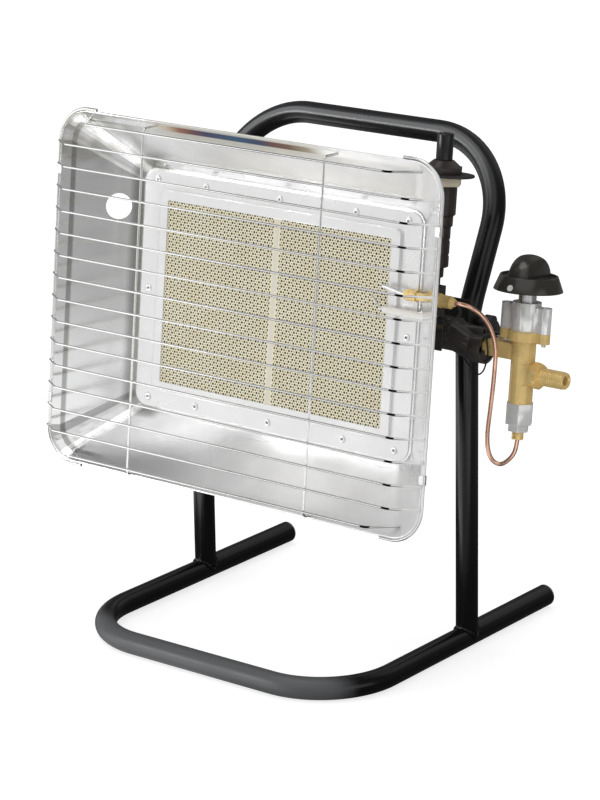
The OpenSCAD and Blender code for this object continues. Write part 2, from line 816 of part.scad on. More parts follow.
module friction_washers() color(cream) both_pivots()
    ring_x(half_w + tube_r, ear_in, washer_d / 2, bolt_r + hole_gap);

module clamp_washers() color(steel) both_pivots()
    ring_x(ear_out + hole_gap / 2, clamp_in, clamp_washer_d / 2, bolt_r + hole_gap);

module bolt_caps() color(bright) both_pivots() difference() {
    union() {
        rod_x(bolt_cap_in, bolt_cap_end - bolt_cap_d / 4, 0, 0, bolt_cap_d / 2);
        translate([bolt_cap_end - bolt_cap_d / 4, 0, 0]) rotate([0, 90, 0])
            cylinder(h = bolt_cap_d / 4, r1 = bolt_cap_d / 2, r2 = bolt_cap_d / 4);
    }
    rod_x(bolt_cap_in - cut, bolt_end, 0, 0, bolt_r);
}

module clamp_knob() difference() {
    union() {
        rod_x(clamp_in, clamp_out, 0, 0, clamp_knob_d / 2 - clamp_lobe_d / 3);
        for (k = [0:clamp_lobes - 1]) rotate([360 * k / clamp_lobes, 0, 0])
            rod_x(clamp_in + 2, clamp_out - 2, clamp_knob_d / 2 - clamp_lobe_d / 2, 0, clamp_lobe_d / 2);
    }
    rod_x(clamp_in - cut, clamp_out + cut, 0, 0, bolt_r + run_gap);
}

module clamp_knob_right() color(black) translate([0, 0, pivot_z]) clamp_knob();
module clamp_knob_left() color(black) translate([0, 0, pivot_z]) rotate([0, 0, 180]) clamp_knob();

// ---- head bracket ----

module ear_shape() difference() {
    union() {
        polygon([[bracket_d, -bracket_down], [bracket_back, -bracket_down],
            [pivot_depth, -ear_r], [pivot_depth, ear_r], [bracket_back + bracket_t, bracket_up],
            [bracket_d, bracket_up]]);
        translate([pivot_depth, 0]) circle(r = ear_r);
    }
    translate([pivot_depth, 0]) circle(r = bolt_r + run_gap);
}

module head_bracket() color(black) head_pose() difference() {
    union() {
        translate([-ear_out, bracket_d, -bracket_down])
            cube([2 * ear_out, bracket_t, bracket_up + bracket_down]);
        side_plate(ear_in, bracket_t) ear_shape();
        side_plate(-ear_out, bracket_t) ear_shape();
        for (s = [-1, 1]) translate([s * leg_x - leg_w / 2, housing_back, 0]) {
            translate([0, 0, bracket_up - bracket_t])
                cube([leg_w, bracket_d - housing_back + bracket_t, bracket_t]);
            translate([0, 0, bracket_up - bracket_t]) cube([leg_w, bracket_t, foot_up + bracket_t]);
            translate([0, 0, -bracket_down])
                cube([leg_w, bracket_d - housing_back + bracket_t, bracket_t]);
            translate([0, 0, -bracket_down - foot_down]) cube([leg_w, bracket_t, foot_down + bracket_t]);
        }
    }
    for (p = foot_places)
        rod_d(p[0], housing_back - cut, bracket_foot_back + cut, p[1], screw_d / 2 + hole_gap);
}

module bracket_screws() color(steel) head_pose() for (p = foot_places) {
    rod_d(p[0], housing_back - screw_in, bracket_foot_back + 1, p[1], screw_d / 2);
    translate([p[0], bracket_foot_back + screw_head_h, p[1]]) rotate([90, 0, 0])
        cylinder(h = screw_head_h, r = screw_af / 2 * hex_c, $fn = hex);
}

// ---- reflector and guard ----

module tray(d0, w0, h0, c0, d1, w1, h1, c1) {
    hull() {
        slab(d0, 0.01) round_rect(w0, h0, c0, $fn = hull_fn);
        slab(d1 - 0.01, 0.01) round_rect(w1, h1, c1, $fn = hull_fn);
    }
}

// one stage of the reflector, off outside or inside the sheet's middle
module lip_stage(off, d0, d1) tray(d0, 2 * (bead_x + off), 2 * (bead_u + off), bead_corner + off,
    d1, 2 * (lip_x + off), 2 * (lip_u + off), lip_corner + off);

module wall_stage(off, d0, d1) tray(d0, 2 * (lip_x + off), 2 * (lip_u + off), lip_corner + off,
    d1, floor_w + 2 * (skin + off), floor_h + 2 * (skin + off), floor_corner + skin + off);

// wire or bead that follows the rim all the way round
module rim_ring(hx, hu, corner, d, r) {
    rod_x(-(hx - corner), hx - corner, d, hu, r);
    rod_x(-(hx - corner), hx - corner, d, -hu, r);
    rod_u(hx, d, -(hu - corner), hu - corner, r);
    rod_u(-hx, d, -(hu - corner), hu - corner, r);
    for (k = [0:3]) {
        sx = k == 0 || k == 3 ? 1 : -1;
        su = k < 2 ? 1 : -1;
        translate([sx * (hx - corner), d, su * (hu - corner)]) rotate([90, 0, 0])
            rotate([0, 0, quarter * k]) quarter_ring(corner, r);
    }
}

module reflector() color(bright) head_pose() difference() {
    union() {
        lip_stage(skin, bead_d, lip_d);
        wall_stage(skin, lip_d, floor_d);
        slab(floor_d, sheet_t) round_rect(floor_w + 4 * skin, floor_h + 4 * skin,
            floor_corner + 2 * skin, $fn = hull_fn);
        rim_ring(bead_x, bead_u, bead_corner, bead_d, bead_r);
    }
    lip_stage(-skin, bead_d, lip_d);
    slab(bead_d - 2 * bead_r, 2 * bead_r + 0.01) round_rect(2 * (bead_x - bead_r), 2 * (bead_u - bead_r),
        bead_corner - bead_r, $fn = hull_fn);
    wall_stage(-skin, lip_d - 0.01, floor_d + 0.005);
    slab(floor_d - cut, sheet_t + 2 * cut) round_rect(2 * pocket_x, 2 * pocket_u, pocket_corner);
    for (p = rivet_places)
        rod_d(p[0], floor_d - cut, floor_back + cut, p[1], rivet_d / 2 + hole_gap);
    translate([-hole_x, hole_d, hole_u]) rotate([0, 0, -wall_angle]) rotate([0, 90, 0])
        cylinder(h = 10 * sheet_t, r = hole_r, center = true);
    rod_x(floor_w / 2, sensor_x, sensor_d, tc_u, tc_nut_af / 2);
    rod_x(floor_w / 2, sensor_x, sensor_d, spark_u, collar_r + 0.4);
}

// half of a bent guard wire in the plane of x and depth, seen at height u
module bent_half(run, ex, ed) {
    turn = atan2(ed + guard_d, ex - run);
    back = wire_bend * tan(turn / 2);
    rod_x(0, run - back, -guard_d, 0, wire_r);
    translate([run - back, wire_bend - guard_d, 0]) rotate([0, 0, -90])
        rotate_extrude(angle = turn) translate([wire_bend, 0]) circle(r = wire_r);
    length = norm([ex - run, ed + guard_d]) - back;
    translate([run + back * cos(turn), back * sin(turn) - guard_d, 0]) rotate([0, 90, turn]) {
        cylinder(h = length, r = wire_r);
        cylinder(h = band_l, r = wire_r + band, center = true);
    }
}

module bent_wire(u, run, ex, ed) {
    translate([0, 0, u]) {
        bent_half(run, ex, ed);
        mirror([1, 0, 0]) bent_half(run, ex, ed);
    }
}

module grille_cross_wires() color(bright) head_pose() {
    difference() {
        for (k = [0:wires_half - 2], s = [-1, 1])
            bent_wire(s * wire_pitch * (k + 0.5), guard_half, aim_x, aim_d);
        for (s = [-1, 1]) rod_u(s * side_x, rim_d, -side_u + rim_corner, side_u - rim_corner, side_wire_r);
    }
    for (s = [-1, 1]) bent_wire(s * short_u, guard_short, guard_short + short_run, short_end_d);
}

// upper half of an upright guard wire, drawn as depth and height
module hooked_half() {
    turn = atan2(hook_d - upright_d, hook_rise);
    back = wire_bend * tan(turn / 2);
    knee = hook_u - hook_rise;
    cylinder(h = knee - back, r = wire_r);
    translate([0, wire_bend, knee - back]) rotate([90, 0, -90])
        rotate_extrude(angle = turn) translate([wire_bend, 0]) circle(r = wire_r);
    translate([0, back * sin(turn), knee + back * cos(turn)]) rotate([-turn, 0, 0]) {
        cylinder(h = norm([hook_d - upright_d, hook_rise]) - back, r = wire_r);
        cylinder(h = band_l, r = wire_r + band, center = true);
    }
}

module grille_upright_wires() color(bright) head_pose() for (s = [-1, 1])
    translate([s * upright_x, upright_d, 0]) {
        hooked_half();
        mirror([0, 0, 1]) hooked_half();
    }

module grille_side_wires() color(bright) head_pose() for (turn = [0, 1]) mirror([turn, 0, 0]) {
    straight = side_u - rim_corner;
    flat = side_x - rim_corner;
    rod_u(side_x, rim_d, -straight, straight, side_wire_r);
    for (s = [-1, 1]) {
        translate([flat, rim_d, s * straight]) rotate([90, 0, 0]) rotate([0, 0, s > 0 ? 0 : -90])
            quarter_ring(rim_corner, side_wire_r);
        rod_x(flat - side_tail, flat, rim_d, s * side_u, side_wire_r);
    }
}

module grille_clips() color(white) head_pose() for (turn = [0, 1]) mirror([turn, 0, 0])
    for (s = [-1, 1]) difference() {
        union() {
            rod_u(side_x, rim_d, s * clip_u - clip_h / 2, s * clip_u + clip_h / 2, clip_r);
            translate([bead_x - bead_r - 1, rim_d - clip_r, s * clip_u - clip_h / 2])
                cube([side_x - bead_x + bead_r + 1, clip_t, clip_h]);
        }
        rod_u(side_x, rim_d, -side_u, side_u, side_wire_r);
        rod_u(bead_x, rim_d, -side_u, side_u, bead_r + 0.02);
        translate([bead_x - bead_r, rim_d, -side_u]) cube([bead_r + 0.7, clip_r + cut, 2 * side_u]);
    }

// ---- burner ----

module burner_plate() color(white) head_pose() difference() {
    union() {
        slab(plate_d, burner_t) round_rect(floor_w - 2 * plate_inset, floor_h - 2 * plate_inset,
            floor_corner - plate_inset);
        slab(frame_d, frame_rise + burner_t) round_rect(2 * (pocket_x + burner_t),
            2 * (pocket_u + burner_t), housing_corner);
    }
    slab(plaque_d, frame_rise + cut) round_rect(2 * pocket_x, 2 * pocket_u, pocket_corner);
    slab(frame_d - cut, burner_t + 2 * cut) square([window_w, window_h], center = true);
    for (p = rivet_places)
        rod_d(p[0], plate_d - cut, floor_d + cut, p[1], rivet_d / 2 + hole_gap);
}

module burner_rivets() color(steel) head_pose() for (p = rivet_places) difference() {
    union() {
        rod_d(p[0], plate_d - rivet_head_t, plate_d, p[1], rivet_head_d / 2);
        rod_d(p[0], plate_d - rivet_head_t / 2, flange_back + rivet_tail_t / 2, p[1], rivet_d / 2);
        rod_d(p[0], flange_back, flange_back + rivet_tail_t, p[1], rivet_tail_r);
    }
    rod_d(p[0], plate_d - 2 * rivet_head_t, flange_back + 2 * rivet_tail_t, p[1], rivet_bore / 2);
}

module plaque(s) {
    translate([s > 0 ? strip_w / 2 : -strip_w / 2 - plaque_w, plaque_d, -plaque_h / 2])
        cube([plaque_w, plaque_t, plaque_h]);
}

module ceramic_plaque_left() color(clay) head_pose() plaque(-1);
module ceramic_plaque_right() color(clay) head_pose() plaque(1);

module plaque_gasket() color(cream) head_pose() slab(plaque_d, plaque_t) difference() {
    round_rect(2 * pocket_x, 2 * pocket_u, pocket_corner);
    for (s = [-1, 1]) translate([s * (strip_w + plaque_w) / 2, 0])
        square([plaque_w, plaque_h], center = true);
}

module burner_housing() color(steel) head_pose() difference() {
    union() {
        slab(floor_back, burner_t) round_rect(floor_w - 2 * flange_inset, floor_h - 2 * flange_inset,
            floor_corner - flange_inset);
        slab(floor_back, plaque_back - floor_back + burner_t) round_rect(2 * (pocket_x + burner_t),
            2 * (pocket_u + burner_t), housing_corner);
        slab(floor_back, housing_d) round_rect(2 * (box_x + burner_t), 2 * (box_u + burner_t),
            housing_corner);
    }
    slab(floor_back - cut, plaque_back - floor_back + cut) round_rect(2 * pocket_x, 2 * pocket_u,
        pocket_corner);
    slab(floor_back - cut, housing_d - burner_t + cut) round_rect(2 * box_x, 2 * box_u, pocket_corner);
    for (p = rivet_places)
        rod_d(p[0], floor_back - cut, flange_back + cut, p[1], rivet_d / 2 + hole_gap);
    for (p = foot_places)
        rod_d(p[0], housing_back - 2 * burner_t, housing_back + cut, p[1], screw_d / 2 + hole_gap);
    translate([-duct_w / 2 + mix_t, housing_back - 2 * burner_t, mix_u - duct_h / 2 + mix_t])
        cube([duct_w - 2 * mix_t, 3 * burner_t, duct_h - 2 * mix_t]);
}

// ---- mixing tube ----

// hollow of the mixing tube, its duct and its mouth
module mix_hollow() {
    rod_x(-mix_start + mix_t, mix_drop_x, gas_depth, mix_u, mix_in);
    hull() {
        rod_x(mix_drop_x - 0.5, mix_drop_x, gas_depth, mix_u, mix_in, $fn = hull_fn);
        rod_x(mouth_x, mouth_x + 0.5, gas_depth, mouth_u, mouth_in, $fn = hull_fn);
    }
    rod_x(mouth_x, mouth_end + cut, gas_depth, mouth_u, mouth_in);
    translate([-duct_w / 2 + mix_t, housing_back - cut, mix_u - duct_h / 2 + mix_t])
        cube([duct_w - 2 * mix_t, gas_depth - housing_back + cut, duct_h - 2 * mix_t]);
}

// duct and flange on the housing's back
module mix_duct() {
    translate([-duct_w / 2, housing_back, mix_u - duct_h / 2])
        cube([duct_w, gas_depth - housing_back, duct_h]);
    translate([-duct_w / 2 - duct_lip, housing_back, mix_u - duct_h / 2 - duct_lip / 2])
        cube([duct_w + 2 * duct_lip, duct_flange, duct_h + duct_lip]);
}

module upper_profile() {
    top = mix_u + mix_r - seam_u;
    translate([gas_depth, seam_u]) polygon([[-mix_r, 0], [mix_r, 0], [mix_flat / 2 + 3, top - 2.5],
        [mix_flat / 2, top], [-mix_flat / 2, top], [-mix_flat / 2 - 3, top - 2.5]]);
}

module mixing_tube_upper() color(brown) head_pose() difference() {
    union() {
        side_plate(-mix_start, mix_drop_x + mix_start) upper_profile();
        rod_x(-mix_start, mix_drop_x, gas_depth, mix_u, mix_r);
        hull() {
            side_plate(mix_drop_x - 4, 0.5) upper_profile();
            rod_x(mouth_x - 0.5, mouth_x, gas_depth, mouth_u, mouth_r, $fn = hull_fn);
        }
        rod_x(boss_x0, boss_x1, gas_depth, boss_u, boss_r);
        translate([seam_x, gas_depth - seam_reach, seam_u])
            cube([mix_drop_x - seam_x, seam_reach, seam_t]);
        mix_duct();
    }
    mix_hollow();
    rod_x(mouth_x, boss_x1 + cut, gas_depth, mouth_u, mouth_r);
    rod_x(boss_x1 - 8, boss_x1 + cut, gas_depth, boss_u, boss_bore);
    translate([-2 * mix_start, gas_depth - 2 * mix_r, seam_u - 4 * mix_r])
        cube([mix_drop_x * 2, 4 * mix_r, 4 * mix_r]);
}

module mixing_tube_lower() color(brown) head_pose() difference() {
    union() {
        intersection() {
            union() {
                rod_x(-mix_start, mix_drop_x, gas_depth, mix_u, mix_r);
                hull() {
                    rod_x(mix_drop_x - 0.5, mix_drop_x, gas_depth, mix_u, mix_r, $fn = hull_fn);
                    rod_x(mouth_x - 0.5, mouth_x, gas_depth, mouth_u, mouth_r, $fn = hull_fn);
                }
                mix_duct();
                translate([seam_x, gas_depth - seam_reach, seam_u - seam_t])
                    cube([mix_drop_x - seam_x, seam_reach, seam_t]);
            }
            translate([-2 * mix_start, gas_depth - 2 * mix_r, seam_u - 4 * mix_r])
                cube([mix_drop_x * 2, 4 * mix_r, 4 * mix_r]);
        }
        rod_x(mouth_x, mouth_end, gas_depth, mouth_u, mouth_r);
    }
    mix_hollow();
}

module injector_bridge() color(black) head_pose() difference() {
    rod_x(bridge_x, bridge_x + bridge_t, gas_depth, mouth_u, mouth_in);
    rod_x(bridge_x - cut, bridge_x + bridge_t + cut, gas_depth, arm_u, injector_d / 2);
    for (s = [-1, 1])
        rod_x(bridge_x - cut, bridge_x + bridge_t + cut, gas_depth + s * air_x, mouth_u, air_r);
}

module gas_injector() color(gold) head_pose() difference() {
    union() {
        hex_x(injector_x0, arm_end, gas_depth, arm_u, injector_af / 2 * hex_c);
        rod_x(bridge_x - injector_nose, injector_x0 + 1, gas_depth, arm_u, injector_d / 2);
    }
    rod_x(bridge_x - injector_nose - cut, arm_end + cut, gas_depth, arm_u, jet_d / 2);
}

// ---- gas valve ----

module valve_body() color(gold) head_pose() difference() {
    union() {
        rod_u(valve_x, gas_depth, valve_bottom, flange_u + 1, valve_d / 2);
        rod_u(valve_x, gas_depth, flange_u, flange_top, flange_d / 2);
        for (s = [-1, 1]) rod_u(valve_x + s * ear_x, gas_depth, flange_u, flange_top, post_d / 2);
        translate([valve_x - ear_x, gas_depth - post_d / 2, flange_u]) cube([2 * ear_x, post_d, flange_t]);
        translate([arm_end, gas_depth - arm_t / 2, arm_u - arm_h / 2])
            cube([valve_x - arm_end, arm_t, arm_h]);
        rod_x(valve_x, inlet_x, gas_depth, inlet_u, seat_d / 2);
    }
    rod_u(valve_x, gas_depth, valve_bottom - cut, valve_bottom + magnet_deep, magnet_bore / 2);
    rod_u(valve_x, gas_depth, valve_bottom, flange_top + cut, core_bore / 2);
    rod_x(arm_end - cut, valve_x, gas_depth, arm_u, outlet_bore / 2);
    rod_x(valve_x, inlet_x + cut, gas_depth, inlet_u, inlet_bore / 2);
    for (s = [-1, 1]) rod_u(valve_x + s * ear_x, gas_depth, flange_u - cut, flange_top + cut,
        cap_thread_d / 2);
}

module inlet_nipple() color(gold) head_pose() difference() {
    union() {
        hex_x(inlet_x, thread_x, gas_depth, inlet_u, inlet_af / 2 * hex_c);
        rod_x(thread_x, thread_end - 1, gas_depth, inlet_u, thread_d / 2);
        translate([thread_end - 1, gas_depth, inlet_u]) rotate([0, 90, 0])
            cylinder(h = 1, r1 = thread_d / 2, r2 = thread_d / 2 - 1);
    }
    rod_x(inlet_x - cut, thread_end + cut, gas_depth, inlet_u, inlet_bore / 2);
    translate([thread_end - 2, gas_depth, inlet_u]) rotate([0, 90, 0])
        cylinder(h = 2 + cut / 2, r1 = inlet_bore / 2, r2 = inlet_bore / 2 + 2);
}

module valve_bonnet() color(bright) head_pose() difference() {
    union() {
        rod_u(valve_x, gas_depth, flange_top, bonnet_u, bonnet_d / 2);
        for (s = [-1, 1]) rod_u(valve_x + s * ear_x, gas_depth, flange_top, post_top, post_d / 2);
        translate([valve_x - ear_x, gas_depth - web_w / 2, flange_top])
            cube([2 * ear_x, web_w, post_h - cap_sink - cap_head]);
    }
    rod_u(valve_x, gas_depth, flange_top - cut, bonnet_u - bonnet_top, bonnet_bore / 2);
    rod_u(valve_x, gas_depth, flange_top, bonnet_u + cut, stem_r + run_gap);
    for (s = [-1, 1]) {
        rod_u(valve_x + s * ear_x, gas_depth, flange_top - cut, post_top, cap_thread_d / 2 + hole_gap);
        rod_u(valve_x + s * ear_x, gas_depth, post_top - cap_sink - cap_head, post_top + cut,
            cap_screw_d / 2 + hole_gap);
    }
}

module bonnet_screws() color(steel) head_pose() for (s = [-1, 1]) difference() {
    union() {
        rod_u(valve_x + s * ear_x, gas_depth, flange_u - cap_out, post_top - cap_sink - 1,
            cap_thread_d / 2);
        rod_u(valve_x + s * ear_x, gas_depth, post_top - cap_sink - cap_head, post_top - cap_sink,
            cap_screw_d / 2);
    }
    hex_u(valve_x + s * ear_x, gas_depth, post_top - cap_sink - 2, post_top, cap_thread_d / 2.4);
}

module magnet_nut() color(bright) head_pose() difference() {
    union() {
        hex_u(valve_x, gas_depth, mag_bottom, valve_bottom, mag_nut_c / 2);
        hex_u(valve_x, gas_depth, mag_low, mag_bottom, mag_low_c / 2);
    }
    rod_u(valve_x, gas_depth, mag_floor_u, valve_bottom + cut, magnet_bore / 2);
    rod_u(valve_x, gas_depth, mag_low - cut, mag_floor_u + cut, gland_shank / 2);
}

module magnet_unit() color(steel) head_pose() {
    rod_u(valve_x, gas_depth, mag_floor_u, mag_floor_u + 3, magnet_bore / 2);
    rod_u(valve_x, gas_depth, mag_floor_u + 2, magnet_u, mag_unit_d / 2);
}

module thermocouple_gland() color(gold) head_pose() difference() {
    union() {
        rod_u(valve_x, gas_depth, gland_bottom, mag_low, gland_d / 2);
        rod_u(valve_x, gas_depth, mag_low - 1, gland_top, gland_shank / 2);
    }
    rod_u(valve_x, gas_depth, gland_bottom - cut, gland_bottom + lead_deep, lead_r);
    for (turn = [0, 90]) translate([valve_x, gas_depth, gland_bottom]) rotate([0, 0, turn])
        translate([-gland_d, -notch_w / 2, -cut]) cube([2 * gland_d, notch_w, gland_h * 0.45 + cut]);
}

// ---- flame sensor ----

module thermocouple_lead() color(red_metal) head_pose() {
    a = [valve_x, gas_depth, gland_bottom];
    b = [tc_end, sensor_d, tc_u];
    cable([a + [0, 0, lead_deep], a, a + [-1.6, -0.6, -12], a + [-6.2, -2.6, -20.4],
        a + [-13.7, -5, -25.7], a + [-21, -8, -22.4], a + [-24.6, -11, -12], a + [-24.4, -14, 5],
        a + [-20.6, -17.5, 31], a + [-17, -21, 60], b + [23.4, 36, -42.6], b + [21.2, 30, -24.7],
        b + [17.6, 20, -11.6], b + [11.5, 9.5, -3.4], b + [4.5, 1.6, -0.2], b, b - [lead_in, 0, 0]],
        lead_r, [0, 1, 0], lead_sides);
}

module sensor_bracket() color(black) head_pose() difference() {
    union() {
        translate([foot_x0, flange_back, -7])
            cube([sensor_x + sensor_t - foot_x0, sensor_t, tc_u + 19]);
        translate([sensor_x, sensor_d - 10, spark_u - 10])
            cube([sensor_t, flange_back - sensor_d + 10 + sensor_t, tc_u - spark_u + 22]);
    }
    rod_x(sensor_x - cut, sensor_x + sensor_t + cut, sensor_d, tc_u, sleeve_d / 2);
    rod_x(sensor_x - cut, sensor_x + sensor_t + cut, sensor_d, spark_u, ceramic_r);
    rod_d(rivet_side_x, flange_back - cut, flange_back + 3, 0, rivet_head_d / 2 + 0.3);
}

module thermocouple_sleeve() color(gold) head_pose() difference() {
    union() {
        rod_x(sleeve_x, sleeve_end, sensor_d, tc_u, sleeve_d / 2);
        hex_x(sleeve_x + 2, sleeve_x + 14, sensor_d, tc_u, tc_union_af / 2 * hex_c * 0.95);
    }
    rod_x(sleeve_end - 2, sleeve_end + cut, sensor_d, tc_u, lead_r);
    rod_x(sleeve_x - cut, sleeve_x + 4, sensor_d, tc_u, probe_r);
}

module thermocouple_nuts() color(gold) head_pose() {
    difference() {
        union() {
            hex_x(sensor_x - tc_nut_t, sensor_x, sensor_d, tc_u, tc_nut_af / 2 * hex_c);
            hex_x(tc_nut_x, tc_union_x, sensor_d, tc_u, tc_nut_af / 2 * hex_c);
        }
        rod_x(sleeve_x, tc_end, sensor_d, tc_u, sleeve_d / 2);
    }
    difference() {
        union() {
            hex_x(tc_union_x, tc_end - 4, sensor_d, tc_u, tc_union_af / 2 * hex_c);
            translate([tc_end - 4, sensor_d, tc_u]) rotate([0, 90, 0])
                cylinder(h = 4, r1 = tc_union_af / 2 - 0.4, r2 = lead_r + 1);
        }
        rod_x(tc_union_x - cut, sleeve_end, sensor_d, tc_u, sleeve_d / 2);
        rod_x(tc_union_x, tc_end + cut, sensor_d, tc_u, lead_r);
    }
}

module thermocouple_probe() color(steel) head_pose() {
    rod_x(sleeve_x, sleeve_x + 4, sensor_d, tc_u, probe_r);
    translate([sleeve_x, sensor_d, tc_u + probe_bend]) {
        rotate([-90, 90, 0]) rotate_extrude(angle = probe_up) translate([probe_bend, 0])
            circle(r = probe_r);
        rotate([0, probe_up, 0]) translate([0, 0, -probe_bend]) rotate([0, -90, 0]) {
            cylinder(h = probe_l - probe_bend * probe_up * PI / 180, r = probe_r);
            cylinder(h = band_l, r = probe_r + band, center = true);
        }
    }
}

// ---- spark igniter ----

module spark_electrode() color(steel) head_pose() {
    x = ceramic_x0 - tip_bare;
    rod_x(x, ceramic_x1, sensor_d, spark_u, rod_r);
    translate([x, sensor_d, spark_u]) {
        sphere(r = rod_r + 0.1);
        rotate([0, tip_angle - 90, 0]) cylinder(h = tip_l, r = rod_r);
    }
}

module spark_insulator() color(white) head_pose() difference() {
    union() {
        rod_x(ceramic_x0, ceramic_x1, sensor_d, spark_u, ceramic_r);
        rod_x(sensor_x - collar_l, sensor_x, sensor_d, spark_u, collar_r);
    }
    rod_x(ceramic_x0 - cut, ceramic_x1 + cut, sensor_d, spark_u, rod_r);
}

module ignition_lead() color(black) head_pose() {
    boot_x = ceramic_x1 + boot_l;
    low = [ign_x, ign_d, step_u[3]];
    rod_x(ceramic_x1, boot_x, sensor_d, spark_u, ceramic_r);
    cable([[boot_x - 2, sensor_d, spark_u], [boot_x, sensor_d, spark_u],
        [boot_x + 6, sensor_d + 2, spark_u + 0.8], [boot_x + 9, sensor_d + 8, spark_u + 5],
        [boot_x + 5, sensor_d + 15, spark_u + 9.5], low + [19, 1.5, -12.5], low + [8, 1.5, -12],
        low + [1.6, 0.4, -6.5], low, low + [0, 0, 7]], spark_lead_r, [-0.35, 1, 0.35], thin_sides);
}

module earth_wire() color(black) head_pose() {
    a = [mix_drop_x + 7, gas_depth + 2, mix_u - mix_r - 3.3];
    b = [valve_x - ear_x - crimp_l - 3, gas_depth, tag_u + tag_t / 2];
    cable([a + [-4, 4, 2.3], a, a + [6, -1.4, -5], a + [14, -4, -10], a + [22.5, -7, -13.5],
        a + [30.6, -9, -8], b + [-1.6, -9, -17], b + [-3.4, -9, -6], b + [-3.8, -8.2, -1.4],
        b + [-2.4, -3.6, 0.4], b, b + [2, 0, 0], b + [crimp_l - 3, 0, 0]], earth_r, [0.1, 1, 0],
        thin_sides);
}

module earth_tag() color(bright) head_pose() {
    x = valve_x - ear_x;
    difference() {
        union() {
            rod_u(x, gas_depth, tag_u, flange_u, tag_r);
            translate([x - tag_r - 1, gas_depth - 2, tag_u]) cube([tag_r + 1, 4, tag_t]);
            rod_x(x - crimp_l - 1, x - tag_r, gas_depth, tag_u + tag_t / 2, earth_r + 0.9);
        }
        rod_u(x, gas_depth, tag_u - cut, flange_u + cut, cap_thread_d / 2 + hole_gap);
        rod_x(x - crimp_l - 2, x - post_d / 2, gas_depth, tag_u + tag_t / 2, earth_r);
        translate([x - tag_r - 0.5, gas_depth - tag_r, flange_u]) cube([2 * tag_r, 2 * tag_r, 4]);
    }
}

module igniter_bracket() color(black) head_pose() difference() {
    union() {
        translate([plate_x, ign_d - plate_r, plate_u])
            cube([ign_x + plate_out - plate_x, 2 * plate_r, plate_t]);
        rod_u(ign_x + plate_out, ign_d, plate_u, plate_u + plate_t, plate_r);
        translate([plate_x, flange_back, leg_low]) cube([plate_leg, plate_t, plate_u + plate_t - leg_low]);
    }
    rod_u(ign_x, ign_d, plate_u - cut, plate_u + plate_t + cut, neck_d / 2);
    rod_d(rivet_corner_x, flange_back - cut, flange_back + 2 * plate_t, rivet_u, rivet_head_d / 2 + 0.3);
}

module igniter_barrel() color(black) head_pose() difference() {
    union() {
        rod_u(ign_x, ign_d, cream_u - 1, cone_u, neck_d / 2);
        rod_u(ign_x, ign_d, barrel_u, cream_u, barrel_r);
        rod_u(ign_x, ign_d, step_u[0], barrel_u + 1, step_r[0]);
        rod_u(ign_x, ign_d, step_u[1], step_u[0] + 1, step_r[1]);
        rod_u(ign_x, ign_d, step_u[2], step_u[1] + 1, step_r[2]);
        rod_u(ign_x, ign_d, step_u[3], step_u[2] + 1, step_r[3]);
    }
    rod_u(ign_x, ign_d, step_u[3] - cut, step_u[3] + 7, spark_lead_r);
    rod_u(ign_x, ign_d, pin_u - button_travel - 2, collar_u + cut, pin_r + 0.3);
    rod_u(ign_x, ign_d, collar_u - button_travel, cone_u + cut, button_r + 0.4);
}

module igniter_collar() color(brown) head_pose() difference() {
    union() {
        hex_u(ign_x, ign_d, collar_u, cone_u, flange_c / 2);
        translate([ign_x, ign_d, cone_u]) cylinder(h = cone_h, r1 = flange_c / 2 / hex_c, r2 = cone_r);
    }
    rod_u(ign_x, ign_d, collar_u - cut, cone_u, neck_d / 2);
    rod_u(ign_x, ign_d, cone_u - cut, cone_top + cut, button_r + run_gap);
}

module igniter_nut() color(cream) head_pose() difference() {
    hex_u(ign_x, ign_d, cream_u, plate_u, cream_c / 2);
    rod_u(ign_x, ign_d, cream_u - cut, plate_u + cut, neck_d / 2);
}

// ---- what moves ----

module valve_plunger() color(steel) head_pose() {
    rod_u(valve_x, gas_depth, plunger_bottom, stem_flange_u - plunger_disc_t + 1, plunger_r);
    rod_u(valve_x, gas_depth, stem_flange_u - plunger_disc_t, stem_flange_u, plunger_disc_r);
}

module valve_stem() color(bright) head_pose() {
    rod_u(valve_x, gas_depth, stem_flange_u, stem_flange_u + stem_flange_t, bonnet_bore / 2 - 0.4);
    rod_u(valve_x, gas_depth, stem_flange_u + stem_flange_t - 1, knob_u + skirt_h, stem_r);
}

// the white dot, facing the front on the sloping skirt
module dot_shape() {
    slope = atan2((knob_d - knob_top_d) / 2, skirt_h);
    r = knob_d / 2 - dot_u * (knob_d - knob_top_d) / 2 / skirt_h;
    translate([valve_x, gas_depth - r, knob_u + dot_u]) rotate([90 - slope, 0, 0])
        translate([0, 0, -dot_in]) cylinder(h = dot_in + dot_out, r = dot_d / 2);
}

module gas_knob() color(black) head_pose() difference() {
    union() {
        difference() {
            translate([valve_x, gas_depth, knob_u])
                cylinder(h = skirt_h, r1 = knob_d / 2, r2 = knob_top_d / 2);
            rod_u(valve_x, gas_depth, knob_u - cut, knob_u + skirt_deep, knob_top_d / 2 - skirt_t);
        }
        rod_u(valve_x, gas_depth, knob_u, knob_u + skirt_h, hub_d / 2);
        intersection() {
            rod_x(valve_x - grip_t / 2, valve_x + grip_t / 2, gas_depth, knob_u + grip_h - grip_r, grip_r);
            translate([valve_x - grip_t, gas_depth - 2 * grip_r, knob_u + skirt_h - 1])
                cube([2 * grip_t, 4 * grip_r, grip_h]);
        }
    }
    rod_u(valve_x, gas_depth, knob_u - cut, knob_u + skirt_h, stem_r);
    dot_shape();
}

module knob_marker() color(white) head_pose() dot_shape();

module igniter_button() color(black) head_pose() {
    rod_u(ign_x, ign_d, pin_u, cone_u + 1, pin_r);
    rod_u(ign_x, ign_d, cone_u, button_top - 1, button_r);
    translate([ign_x, ign_d, button_top - 1]) cylinder(h = 1, r1 = button_r, r2 = button_r - 1);
}

